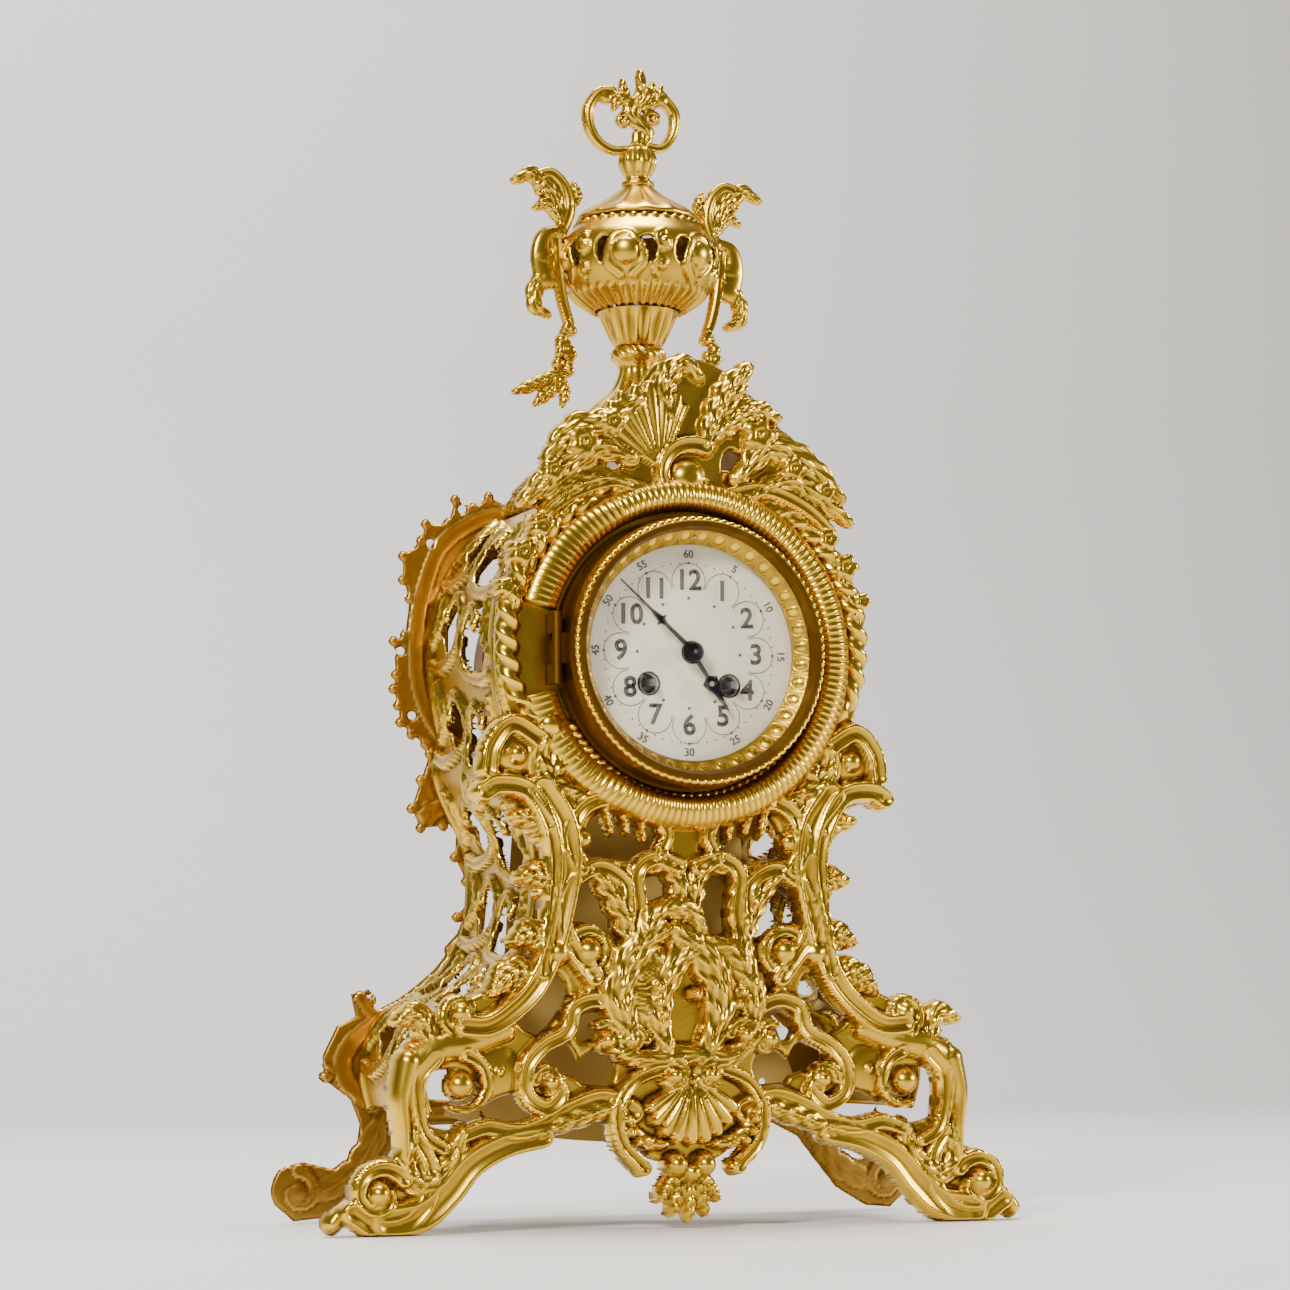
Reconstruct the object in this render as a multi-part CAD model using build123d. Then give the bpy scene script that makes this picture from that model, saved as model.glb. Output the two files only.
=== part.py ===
from build123d import *
import math
import os

# Rococo mantel clock: a cast gilt-brass case with an urn on top, holding a round striking movement.
# Millimetres. X to the viewer's right, -Y to the front, +Z up. The origin is on the table, under the
# middle of the clock. An outline is drawn in (x, z), as seen from the front, and has its depth in y.

# ---------------------------------------------------------------- driving dimensions
HEIGHT = 482.0            # table to the tip of the finial
FOOT_X = 144.4            # middle of a front foot's ball
FRONT_Y = -70.0           # front of the bezel
BACK_Y = 70.0             # tip of the rear door's knob
CASE_FRONT = -50.0        # front face of the front casting's ground
CASE_WALL = 8.0           # thickness of the front casting
REAR_FRAME_Y = 46.0       # front face of the rear frame
REAR_FRAME_WALL = 4.0

DIAL_Z = 228.0            # height of the dial's centre
DRUM_R = 47.5             # outside of the drum that holds the movement
DRUM_WALL = 1.5
BEZEL_R = 54.2
GLASS_R = 49.8
DIAL_R = 48.0
PLATE_R = 42.0
WINDING_X = 17.3          # winding arbors, from the dial's centre
WINDING_Z = -12.7
FRONT_PLATE_Y = -46.0     # front faces of the movement's two plates
BACK_PLATE_Y = 6.0
PLATE_T = 2.0

MINUTE_HAND_DEG = 312.0   # clockwise from twelve
HOUR_HAND_DEG = 146.0

PIVOT_PLAY = 0.05         # radial clearance of a shaft in its hole
AIR = 0.1                 # gap between neighbours that only lie together

BAND = 8.0                # width of the case's main scroll band
PENDULUM_LENGTH = 150.9   # suspension to the middle of the bob, for 9240 beats an hour
PENDULUM_Y = 24.0
BOB_R = 16.0
BOB_HALF_T = 3.6

BEZEL_HINGE = (-57.0, -57.5)    # x, y of the two vertical hinges
DOOR_HINGE = (57.0, 53.5)
HINGE_R = 2.0
HINGE_PIN_R = 0.8


# ---------------------------------------------------------------- helpers
def between(sketch, front, back):
    """Solid of an (x, z) sketch from one depth to another."""
    return extrude(Plane.XZ.offset(-back) * sketch, amount=back - front, dir=(0, -1, 0))


def filled(edges):
    """Flat shape inside closed edges, facing up."""
    face = make_face(edges).face()
    return Sketch() + (face if face.normal_at().Z > 0 else -face)


def poly(*points):
    """Straight-sided flat shape, facing up whichever way round its corners are listed."""
    turns = [a[0] * b[1] - b[0] * a[1] for a, b in zip(points, points[1:] + points[:1])]
    return Polygon(*(points if sum(turns) > 0 else points[::-1]), align=None)


def disc(x, z, radius, front, back):
    """Round bar along Y."""
    return between(Pos(x, z) * Circle(radius), front, back)


def ring(radius, bore, front, back, x=0.0, z=DIAL_Z):
    """Tube along Y."""
    return between(Pos(x, z) * (Circle(radius) - Circle(bore)), front, back)


def turned_y(profile, z=DIAL_Z):
    """Body turned about the dial's axis from (radius, y) points."""
    return revolve(Pos(0, 0, z) * poly(*profile), Axis((0, 0, z), (0, 1, 0)))


def turned_z(outer, inner=(), x=0.0, y=0.0):
    """Body turned about an upright axis: a smooth outside of (radius, z) points, an optional inside."""
    skin = Spline(*outer)
    low, high = outer[0], outer[-1]
    lower, upper = (inner[0], inner[-1]) if inner else ((0, low[1]), (0, high[1]))
    core = Spline(*inner) if len(inner) > 2 else Line(lower, upper)
    edges = [skin, core]
    edges += [Line(a, b) for a, b in ((low, lower), (high, upper)) if a != b]
    return Pos(x, y, 0) * revolve(Plane.XZ * filled(edges), Axis.Z)


def band(points, width):
    """Scroll band: a smooth centre line of even width with round ends."""
    ends = Sketch() + [Pos(*points[i]) * Circle(width / 2) for i in (0, -1)]
    return trace(Spline(*points), line_width=width) + ends


def both_sides(thing):
    """A thing and its mirror image, left and right."""
    return thing + mirror(thing, about=Plane.YZ)


def ball(x, y, z, radius):
    return Pos(x, y, z) * Sphere(radius)


def upright_pin(x, y, low, high, radius):
    """Pin or knuckle along Z."""
    return Pos(x, y, (low + high) / 2) * Cylinder(radius, high - low)


# ---------------------------------------------------------------- toothed wheels
# A tooth is drawn as (height over the pitch circle in modules, share of its half width) pairs.
# Wheels have ogive tips and pinions short round ones, both with radial flanks, as in clock work.
WHEEL_TOOTH = ((-1.5, 1.0), (0.0, 1.0), (0.5, 0.7), (0.85, 0.38), (1.05, 0.0))
PINION_TOOTH = ((-1.75, 0.9), (0.0, 1.0), (0.3, 0.65), (0.5, 0.0))
WHEEL_SHARE = 0.38        # tooth width over the pitch
PINION_SHARE = 0.30


class Gear:
    """A toothed wheel or pinion: teeth, module, place from the dial's centre and angle of one tooth."""

    def __init__(self, teeth, module, at, angle=0.0, pinion=False):
        self.teeth = teeth
        self.pitch_r = teeth * module / 2
        self.module = module
        self.at = at
        self.angle = angle
        self.form = PINION_TOOTH if pinion else WHEEL_TOOTH
        self.half = math.pi / teeth * (PINION_SHARE if pinion else WHEEL_SHARE)

    def meshed(self, teeth, at, pinion=False):
        """The gear that meshes with this one when centred there."""
        line = math.atan2(at[1] - self.at[1], at[0] - self.at[0])
        turn = (self.angle - line) * self.teeth / teeth
        return Gear(teeth, self.module, at, line + math.pi + math.pi / teeth - turn, pinion)

    def sketch(self):
        points = []
        for tooth in range(self.teeth):
            middle = self.angle + 2 * math.pi * tooth / self.teeth
            rising = [(h, -w) for h, w in self.form]
            falling = [(h, w) for h, w in reversed(self.form[:-1])]
            for height, width in rising + falling:
                radius = self.pitch_r + height * self.module
                angle = middle + width * self.half
                points.append((radius * math.cos(angle), radius * math.sin(angle)))
        x, z = self.at
        return Pos(x, DIAL_Z + z) * poly(*points)

    def solid(self, front, back, spokes=0):
        """The wheel between two depths, with its rim carried by spokes where it has any."""
        face = self.sketch()
        if spokes:
            rim = self.pitch_r - 3.2 * self.module
            window = Circle(rim) - Circle(rim * 0.3)
            for spoke in range(spokes):
                window -= Rot(0, 0, 360 / spokes * spoke) * Pos(rim / 2, 0) * Rectangle(rim * 1.2, rim * 0.16)
            x, z = self.at
            face -= Pos(x, DIAL_Z + z) * window
        return between(face, front, back)


def arbor(at, radius, front, back):
    return disc(at[0], DIAL_Z + at[1], radius, front, back)


def apart(start, distance, degrees):
    """The point at a distance and direction from another."""
    angle = math.radians(degrees)
    return (start[0] + distance * math.cos(angle), start[1] + distance * math.sin(angle))


def meeting(a, from_a, b, from_b):
    """The upper point at given distances from two others."""
    line = math.dist(a, b)
    along = (from_a ** 2 - from_b ** 2 + line ** 2) / (2 * line)
    rise = math.sqrt(from_a ** 2 - along ** 2)
    ux, uz = (b[0] - a[0]) / line, (b[1] - a[1]) / line
    sides = [(a[0] + along * ux - s * rise * uz, a[1] + along * uz + s * rise * ux) for s in (1, -1)]
    return max(sides, key=lambda p: p[1])


# Places of the arbors, from the dial's centre, and the wheels that they carry.
CENTRE = (0.0, 0.0)
GOING = (WINDING_X, WINDING_Z)
STRIKE = (-WINDING_X, WINDING_Z)
GREAT_M, SECOND_M, CENTRE_M, THIRD_M = 0.40, 0.36, 0.30, 0.30
STOP_M = 0.28
SECOND = meeting(CENTRE, SECOND_M * (75 + 10) / 2, GOING, GREAT_M * (80 + 10) / 2)
THIRD = apart(CENTRE, CENTRE_M * (88 + 8) / 2, 120)
ESCAPE = (0.0, THIRD[1] + math.sqrt((THIRD_M * (80 + 8) / 2) ** 2 - THIRD[0] ** 2))
ANCHOR = (0.0, ESCAPE[1] + 11.2)
STRIKE_SECOND = apart(STRIKE, GREAT_M * (80 + 10) / 2, 100)
PIN_WHEEL = apart(STRIKE_SECOND, SECOND_M * (75 + 10) / 2, 95)
STOP_WHEEL = apart(PIN_WHEEL, THIRD_M * (60 + 8) / 2, 50)
FLY = apart(STOP_WHEEL, STOP_M * (56 + 8) / 2, 40)
MOTION_D = 12.0           # centre distance of the motion work
MINUTE_WHEEL = (0.0, MOTION_D)
HAMMER = (-37.0, -2.0)

ARBOR_R = 0.9
PIVOTS = (SECOND, THIRD, ESCAPE, ANCHOR, STRIKE_SECOND, PIN_WHEEL, STOP_WHEEL, FLY, HAMMER)
PILLARS = [apart(CENTRE, 38, degrees) for degrees in (35, 190, 250, 290)]

great = Gear(80, GREAT_M, GOING)
second_pinion = great.meshed(10, SECOND, pinion=True)
second = Gear(75, SECOND_M, SECOND)
centre_pinion = second.meshed(10, CENTRE, pinion=True)
centre = Gear(88, CENTRE_M, CENTRE)
third_pinion = centre.meshed(8, THIRD, pinion=True)
third = Gear(80, THIRD_M, THIRD)
escape_pinion = third.meshed(8, ESCAPE, pinion=True)

cannon = Gear(20, 2 * MOTION_D / 80, CENTRE)
minute = cannon.meshed(60, MINUTE_WHEEL)
minute_pinion = Gear(12, 2 * MOTION_D / 60, MINUTE_WHEEL, pinion=True)
hour = minute_pinion.meshed(48, CENTRE)

strike_great = Gear(80, GREAT_M, STRIKE)
strike_second_pinion = strike_great.meshed(10, STRIKE_SECOND, pinion=True)
strike_second = Gear(75, SECOND_M, STRIKE_SECOND)
pin_pinion = strike_second.meshed(10, PIN_WHEEL, pinion=True)
pin = Gear(60, THIRD_M, PIN_WHEEL)
stop_pinion = pin.meshed(8, STOP_WHEEL, pinion=True)
stop = Gear(56, STOP_M, STOP_WHEEL)
fly_pinion = stop.meshed(8, FLY, pinion=True)

parts = {}

# ---------------------------------------------------------------- case: front casting
# Half outline from the middle of the apron round the leg and up to the shoulder.
FRONT_LOW = [(0, 27), (22, 30), (40, 37), (56, 41), (64, 34), (76, 30), (88, 24), (98, 15), (108, 6),
             (120, 1.6), (134, 1.2)]
FRONT_HIGH = [(FOOT_X - 3, 11), (134, 14), (134, 22), (126, 28), (115, 27), (115, 36), (120, 46),
              (120, 57), (113, 66), (111, 74), (104, 82), (97, 90), (86, 92), (72, 101), (64, 115),
              (61, 132), (62, 150), (67, 164), (80, 168), (86, 175), (79, 186), (71, 196)]


def front_face():
    """Ground of the front casting: legs, apron and body, with a round head about the dial."""
    shoulder = FRONT_HIGH[-1]
    head_r = math.hypot(shoulder[0], shoulder[1] - DIAL_Z)
    crown = (0, DIAL_Z + head_r)
    side = (head_r * math.cos(0.5), DIAL_Z + head_r * math.sin(0.5))
    edges = [Spline(*FRONT_LOW), Line(FRONT_LOW[-1], (FOOT_X, 4)), Line((FOOT_X, 4), FRONT_HIGH[0]),
             Spline(*FRONT_HIGH), ThreePointArc(shoulder, side, crown)]
    half = Wire(edges)
    return filled([half, mirror(half, about=Plane.YZ)])


def front_openings():
    """Right-hand openings of the pierced ground."""
    leg = poly((84, 47), (101, 46), (103, 58), (90, 62))
    ring_eye = Pos(78, 60) * Ellipse(4.5, 6)
    lobe = poly((50, 58), (64, 60), (63, 70), (51, 70))
    strap = poly((36, 66), (47, 68), (49, 78), (43, 85), (36, 82))
    notch = Pos(48, 95) * Ellipse(3, 4)
    inner = poly((27, 112), (47, 114), (49, 128), (42, 136), (27, 134))
    middle = poly((6, 114), (20, 118), (21, 137), (6, 138))
    upper = poly((7, 146), (42, 150), (36, 163), (12, 161))
    return [leg, ring_eye, lobe, strap, notch, inner, middle, upper]


def front_casting():
    face = front_face() - Pos(0, DIAL_Z) * Circle(DRUM_R + 0.5)
    for opening in front_openings():
        face -= both_sides(opening)
    body = between(face, CASE_FRONT, CASE_FRONT + CASE_WALL)
    relief = [band([(92, 80), (76, 85), (62, 101), (55, 120), (53, 140), (56, 158), (63, 173)], BAND),
              Pos(72, 186) * Circle(8),
              Pos(92, 84) * Circle(7),
              Pos(92, 56) * Circle(6),
              Pos(127, 16) * Circle(10)]
    for motif in relief:
        body += between(both_sides(motif), CASE_FRONT - 4, CASE_FRONT + 1)
    for x, z, radius in ((55, 108, 5), (42, 108, 5), (34.7, 73.9, 4), (93, 57, 5)):
        body += both_sides(ball(x, CASE_FRONT - 1, z, radius))
    shell = Pos(0, 57) * Circle(20) & Pos(0, 45) * Rectangle(40, 26)
    body += between(shell + Pos(0, 60) * Rectangle(18, 12), CASE_FRONT - 9, CASE_FRONT + 1)
    pendant = filled([Spline((0, 36), (15, 24), (13, 8), (0, 3), (-13, 8), (-15, 24), (0, 36))])
    body += between(pendant, CASE_FRONT - 8, CASE_FRONT + 2)
    cartouche = Pos(0, 96) * Ellipse(19, 20)
    body += between(cartouche, CASE_FRONT - 7, CASE_FRONT + 1)
    for x in (-FOOT_X, FOOT_X):
        body += ball(x, -41, 5, 5) & Box(400, 400, 10, align=(Align.CENTER, Align.CENTER, Align.MIN))
        body += Pos(x * 0.985, -41, 0) * Cylinder(3, 3, align=(Align.CENTER, Align.CENTER, Align.MIN))
    return body


parts["front_casting"] = front_casting()

# Ribbed surround of the bezel, with its rope border, on the front casting's face.
SURROUND = [(57.5, -50.1), (57.5, -53), (60, -55), (66, -54.5), (70, -52), (71.5, -50.1)]
HINGE_GAP = Pos(-61, -53, DIAL_Z) * Box(12, 10, 32)
parts["dial_surround"] = turned_y(SURROUND) - HINGE_GAP

# ---------------------------------------------------------------- case: sides and top
SIDE_LINE = [(101, 46), (104, 62), (98, 80), (84, 89), (70, 100), (61, 116), (58, 135), (60, 155),
             (68, 170), (73, 184), (71, 198), (74, 215), (75, 235), (71, 258), (60, 278), (46, 291)]
SIDE_WALL = 2.4


def side_casting():
    """Curved wall from the front casting to the rear frame, pierced on the side of the drum."""
    wall = between(trace(Spline(*SIDE_LINE), line_width=SIDE_WALL), CASE_FRONT + CASE_WALL + AIR,
                   REAR_FRAME_Y - AIR)
    for y, z, wide, tall in ((12, 228, 26, 22), (-12, 204, 22, 12), (6, 130, 30, 34), (-4, 62, 40, 20)):
        wall -= Pos(80, y, z) * Box(80, wide, tall)
    return wall


parts["side_casting_right"] = side_casting()
parts["side_casting_left"] = mirror(parts["side_casting_right"], about=Plane.YZ)


def top_dome():
    """Domed cap that closes the case over the drum and carries the urn."""
    outer = filled([Spline((-46, 293.5), (-38, 309), (-22, 320), (0, 324), (22, 320), (38, 309), (46, 293.5)),
                       Line((-46, 293.5), (46, 293.5))])
    inner = filled([Spline((-42, 293.4), (-35, 306), (-20, 317), (0, 320.6), (20, 317), (35, 306), (42, 293.4)),
                       Line((-42, 293.4), (42, 293.4))])
    shell = between(outer, -41.8, REAR_FRAME_Y - AIR) - between(inner, -40, REAR_FRAME_Y - 2.4)
    return shell - Pos(0, 0, 320) * Cylinder(2.1, 20)


parts["top_dome"] = top_dome()


def crest():
    """Cast crest over the dial: a C-scroll ring with a shell on its left and a leaf spray on its right."""
    ring_scroll = Pos(0, 301) * (Circle(15) - Circle(9.5)) + Pos(0, 296) * Circle(6)
    shell = filled([Spline((-13, 292), (-28, 300), (-32, 316), (-20, 334), (-6, 338), (-9, 322), (-13, 306)),
                       Line((-13, 306), (-13, 292))])
    spray = band([(12, 312), (24, 322), (32, 334), (26, 345)], 7)
    spray += band([(14, 300), (32, 312), (50, 306), (66, 293)], 9)
    swag = band([(60, 292), (72, 280), (80, 266), (83, 246), (80, 232)], 8)
    swag += mirror(swag, about=Plane.YZ)
    left = band([(-16, 300), (-32, 312), (-48, 306), (-62, 291)], 9)
    face = ring_scroll + shell + spray + left + swag - Pos(0, DIAL_Z) * Circle(72)
    return between(face, CASE_FRONT - 6, CASE_FRONT - AIR)


parts["crest_ornament"] = crest()

# ---------------------------------------------------------------- case: rear frame and screen
REAR_LEFT = [(-46, 299), (-62, 300), (-77, 290), (-88, 272), (-92, 250), (-92, 222), (-87, 204),
             (-77, 192), (-84, 178), (-82, 164), (-68, 158), (-66, 142), (-68, 122), (-80, 104),
             (-98, 96), (-112, 92), (-124, 72), (-120, 52), (-110, 34), (-122, 26), (-144, 20)]
REAR_INNER = [(-118, 6), (-100, 20), (-96, 40), (-100, 60), (-92, 76), (-74, 90), (-60, 106), (-54, 124),
              (-54, 150), (-60, 172), (-64, 190), (-70, 206), (-73, 228), (-72, 250), (-64, 270),
              (-50, 286), (-40, 293)]


def rear_frame():
    """Open rear frame: two comb-edged uprights that run down into scrolled legs, tied at the top."""
    foot = (-133, 12)
    edges = [Spline(*REAR_LEFT), Line(REAR_LEFT[-1], REAR_INNER[0]), Spline(*REAR_INNER),
             Line(REAR_INNER[-1], REAR_LEFT[0])]
    upright = filled(edges)
    tie = Pos(0, 293) * Rectangle(92, 9)
    rail = Pos(0, 44) * Rectangle(200, 7)
    frame = between(both_sides(upright) + tie + rail, REAR_FRAME_Y, REAR_FRAME_Y + REAR_FRAME_WALL)
    for x in (-foot[0], foot[0]):
        frame += disc(x, foot[1], 11.9, REAR_FRAME_Y - 6, REAR_FRAME_Y + REAR_FRAME_WALL + 4)
        frame += Pos(x, 48, 1) * Box(8, 10, 2)
    return frame


parts["rear_frame"] = rear_frame()

SCREEN_Y = 14.0
SCREEN_T = 1.2


def screen_plate():
    """Plain sheet behind the openings, which hides the pendulum, with two screw holes."""
    edges = [Line((-50, 172), (50, 172)), Line((50, 172), (54, 110)), Line((54, 110), (80, 44)),
             ThreePointArc((80, 44), (0, 32), (-80, 44)), Line((-80, 44), (-54, 110)),
             Line((-54, 110), (-50, 172))]
    face = filled(edges)
    for x in (-60, 60):
        face -= Pos(x, 56) * Circle(1.6)
    return between(face, SCREEN_Y, SCREEN_Y + SCREEN_T)


parts["screen_plate"] = screen_plate()

# ---------------------------------------------------------------- urn
URN_ROD_R = 2.0
URN_BORE = URN_ROD_R + PIVOT_PLAY


def bored(body, low, high):
    return body - Pos(0, 0, (low + high) / 2) * Cylinder(URN_BORE, high - low + 2)


PEDESTAL = [(25, 324.2), (24, 329), (20, 336), (12, 343), (8.5, 350), (8.5, 354), (11, 357), (11, 360),
            (9, 362)]
CUP = [(9, 362.1), (11, 365), (16, 370), (17.5, 375), (18, 377)]
BOWL = [(18, 377.1), (26, 381), (33, 390), (35, 400), (32, 409), (26.5, 414.9)]
BOWL_INSIDE = [(6, 380), (22, 383), (30, 391), (32, 400), (29.5, 408), (24, 414.9)]
LID = [(26, 415), (25, 418), (22, 420), (19, 425), (12, 427), (8, 430)]
LID_INSIDE = [(22, 415), (21, 417), (18, 419.5), (14, 422), (9, 424.5), (6, 425)]


def urn_pedestal():
    foot = turned_z(PEDESTAL)
    seat = between(Pos(0, 300) * Rectangle(80, 48.4), -30, 30)
    return bored(foot - seat, 320, 362)


parts["urn_pedestal"] = urn_pedestal()
parts["urn_cup"] = bored(turned_z(CUP), 362, 377)


def urn_bowl():
    """Pierced hollow bowl: a floor on the cup, open at the top under the lid."""
    bowl = turned_z(BOWL, BOWL_INSIDE)
    bowl += Pos(0, 0, 378.6) * Cylinder(10, 2.8)
    for degrees in range(18, 360, 72):
        bowl -= Rot(0, 0, degrees) * Pos(0, -32, 401) * Box(9, 20, 13)
    return bored(bowl, 376, 382)


parts["urn_bowl"] = urn_bowl()


def urn_lid():
    lid = turned_z(LID, LID_INSIDE)
    lid += Pos(0, 0, 427.5) * Cylinder(7, 5)
    return bored(lid, 424, 431)


parts["urn_lid"] = urn_lid()


def urn_finial():
    """Open scrolled finial: a bud vase, a twisted middle and two C-scrolls under a leaf."""
    vase = turned_z([(7, 430.1), (7, 433), (5, 435), (8, 441), (8, 445), (5, 449)])
    stem = band([(0, 447), (4, 456), (-3, 466), (-2, 474), (0, HEIGHT - 3)], 6)
    left = band([(-4, 448), (-18, 446), (-24, 456), (-20, 468), (-13, 468)], 5)
    right = band([(4, 448), (13, 450), (18, 460), (14, 470), (4, 470)], 5)
    tip = ball(0, 0, HEIGHT - 3, 3)
    body = vase + between(stem + left + right, -2.5, 2.5) + tip
    return body - Pos(0, 0, 433) * Cylinder(URN_BORE, 8)


parts["urn_finial"] = urn_finial()


def urn_handle():
    """Right-hand handle: a leaf curl, a drop boss against the bowl, and a hanging spray of flowers."""
    curl = band([(46, 433), (39, 437), (33, 428), (35, 412), (42, 402), (41, 388), (34, 376), (31, 366)], 6)
    spray = band([(30, 366), (35, 354), (33, 342), (42, 334), (54, 337)], 9)
    body = between(curl + spray, -3, 3)
    body += Pos(42, 0, 399) * scale(Sphere(1), by=(6.5, 7, 11))
    return body - turned_z([(r + AIR, z) for r, z in BOWL])


parts["urn_handle_right"] = urn_handle()
parts["urn_handle_left"] = mirror(parts["urn_handle_right"], about=Plane.YZ)


def urn_tie_rod():
    """Threaded rod that draws the urn down on the case, with its nut under the dome."""
    rod = Pos(0, 0, 315) * Cylinder(URN_ROD_R, 121, align=(Align.CENTER, Align.CENTER, Align.MIN))
    nut = extrude(Pos(0, 0, 316) * RegularPolygon(4.5, 6), amount=3.4)
    return rod + nut


parts["urn_tie_rod"] = urn_tie_rod()

# ---------------------------------------------------------------- drum, bezel and rear door
DRUM_FRONT, DRUM_BACK = -49.9, 48.0
SLOT_Y, SLOT_X = 12.0, 26.0


def drum_tube():
    """Brass tube round the movement, with a slot below for the pendulum."""
    tube = ring(DRUM_R, DRUM_R - DRUM_WALL, DRUM_FRONT, DRUM_BACK)
    tube -= Pos(0, PENDULUM_Y, DIAL_Z - DRUM_R) * Box(SLOT_X, SLOT_Y, 12)
    return tube


def bezel_seat():
    """Fixed front ring that carries the bezel's hinge."""
    seat = ring(55.5, 44.0, -53, -50.1)
    x, y = BEZEL_HINGE
    for z in (DIAL_Z - 10.1, DIAL_Z + 10.1):
        seat += Pos(x + 0.3, (y - 50.1) / 2, z) * Box(3.8, -50.1 - y, 8)
        seat += upright_pin(x, y, z - 4, z + 4, HINGE_R)
    return seat - upright_pin(x, y, DIAL_Z - 20, DIAL_Z + 20, HINGE_PIN_R)


def bezel_rim():
    """Moulded ring that carries the glass, hinged at its left, with a catch at its right."""
    rim = turned_y([(BEZEL_R, -53.2), (BEZEL_R, -64), (53, -67.5), (51.5, FRONT_Y), (49.5, FRONT_Y),
                    (48.2, -67), (48.2, -66.3), (50, -66.3), (50, -53.2)])
    x, y = BEZEL_HINGE
    lug = Pos(x + 3, y, DIAL_Z) * Box(5, 3, 12) + upright_pin(x, y, DIAL_Z - 6, DIAL_Z + 6, HINGE_R)
    lug -= ring(BEZEL_R - 1, 1, -66, -53)
    catch = Pos(BEZEL_R + 1, -58, DIAL_Z) * Box(3, 6, 8) - ring(BEZEL_R - 1, 1, -66, -53)
    return rim + lug + catch - upright_pin(x, y, DIAL_Z - 7, DIAL_Z + 7, HINGE_PIN_R + PIVOT_PLAY)


def rear_ring():
    """Fixed rear ring, drawn on to the drum by the straps, with the door's hinge."""
    seat_r = DRUM_R + PIVOT_PLAY
    body = turned_y([(seat_r, 40), (55.5, 40), (55.5, 51), (44, 51), (44, 48.1), (seat_r, 48.1)])
    x, y = DOOR_HINGE
    for z in (DIAL_Z - 10.1, DIAL_Z + 10.1):
        body += Pos(x - 1.5, (y + 46) / 2, z) * Box(4, y - 46, 8) + upright_pin(x, y, z - 4, z + 4, HINGE_R)
    return body - upright_pin(x, y, DIAL_Z - 20, DIAL_Z + 20, HINGE_PIN_R)


def rear_door():
    """Domed dust cover with a knob, hinged at the right, pierced to let the bell sound."""
    door = turned_y([(0, 51.2), (53, 51.2), (53, 53), (46, 54), (38, 61), (20, 65.5), (0, 66.5)])
    door -= turned_y([(0, 51.1), (45, 51.1), (44, 53), (37, 59.4), (19.5, 64), (0, 65)])
    for degrees in range(0, 360, 45):
        door -= Pos(0, 0, DIAL_Z) * Rot(0, degrees, 0) * Pos(28, 62, 0) * Box(12, 14, 4)
    x, y = DOOR_HINGE
    lug = Pos(x - 3, y - 0.6, DIAL_Z) * Box(6, 1.8, 12) + upright_pin(x, y, DIAL_Z - 6, DIAL_Z + 6, HINGE_R)
    knob = disc(0, DIAL_Z, 3, 65, BACK_Y)
    return door + lug + knob - upright_pin(x, y, DIAL_Z - 7, DIAL_Z + 7, HINGE_PIN_R + PIVOT_PLAY)


def hinge_pins():
    """The two hinge pins: one for the bezel and one for the rear door."""
    pins = [upright_pin(x, y, DIAL_Z - 14.1, DIAL_Z + 14.1, HINGE_PIN_R) for x, y in (BEZEL_HINGE, DOOR_HINGE)]
    return Part() + pins


def case_straps():
    """Two flat straps that draw the front and rear rings together."""
    straps = Part()
    for degrees in (60, 240):
        straps += Pos(0, 0, DIAL_Z) * Rot(0, degrees, 0) * Pos(51.5, -1.05, 0) * Box(1.6, 81.9, 8)
    return straps


parts["drum_tube"] = drum_tube()
parts["bezel_seat"] = bezel_seat()
parts["bezel_rim"] = bezel_rim()
parts["bezel_glass"] = turned_y([(0, -66.2), (46.5, -66.2), (GLASS_R, -65.4), (GLASS_R, -64.4), (0, -64.4)])
parts["slip_ring"] = turned_y([(49.9, -64.2), (49.9, -56.5), (48.6, -56.5), (43, -57.6), (43, -58.6),
                               (48.4, -62.8)])
parts["rear_ring"] = rear_ring()
parts["rear_door"] = rear_door()
parts["hinge_pins"] = hinge_pins()
parts["case_straps"] = case_straps()

# ---------------------------------------------------------------- dial and hands
DIAL_FRONT, DIAL_BACK = -54.8, -53.2
CENTRE_ARBOR_R = 0.95
CANNON_PIPE_R = 1.4
HOUR_PIPE_R = 2.3
STUD_R = 0.8


def dial():
    """Enamel dial with its winding holes and the hole for the hour pipe."""
    face = Circle(DIAL_R) - Circle(HOUR_PIPE_R + 0.4)
    for x in (-WINDING_X, WINDING_X):
        face -= Pos(x, WINDING_Z) * Circle(4.0)
    return between(Pos(0, DIAL_Z) * face, DIAL_FRONT, DIAL_BACK)


def hand(shape, clockwise, front, back, bore):
    """A hand drawn pointing to twelve and turned to its time."""
    face = Rot(0, 0, -clockwise) * (shape + Circle(bore + 2.4) - Circle(bore))
    return between(Pos(0, DIAL_Z) * face, front, back)


def minute_hand():
    blade = poly((-1.1, 0), (-0.7, 14), (-0.25, 42), (0.25, 42), (0.7, 14), (1.1, 0))
    diamond = poly((0, 14), (-1.6, 18.5), (0, 27), (1.6, 18.5))
    bar = Pos(0, 18.5) * Rectangle(5.2, 0.8)
    return hand(blade + diamond + bar, MINUTE_HAND_DEG, -60.6, -60.0, CANNON_PIPE_R)


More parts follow.
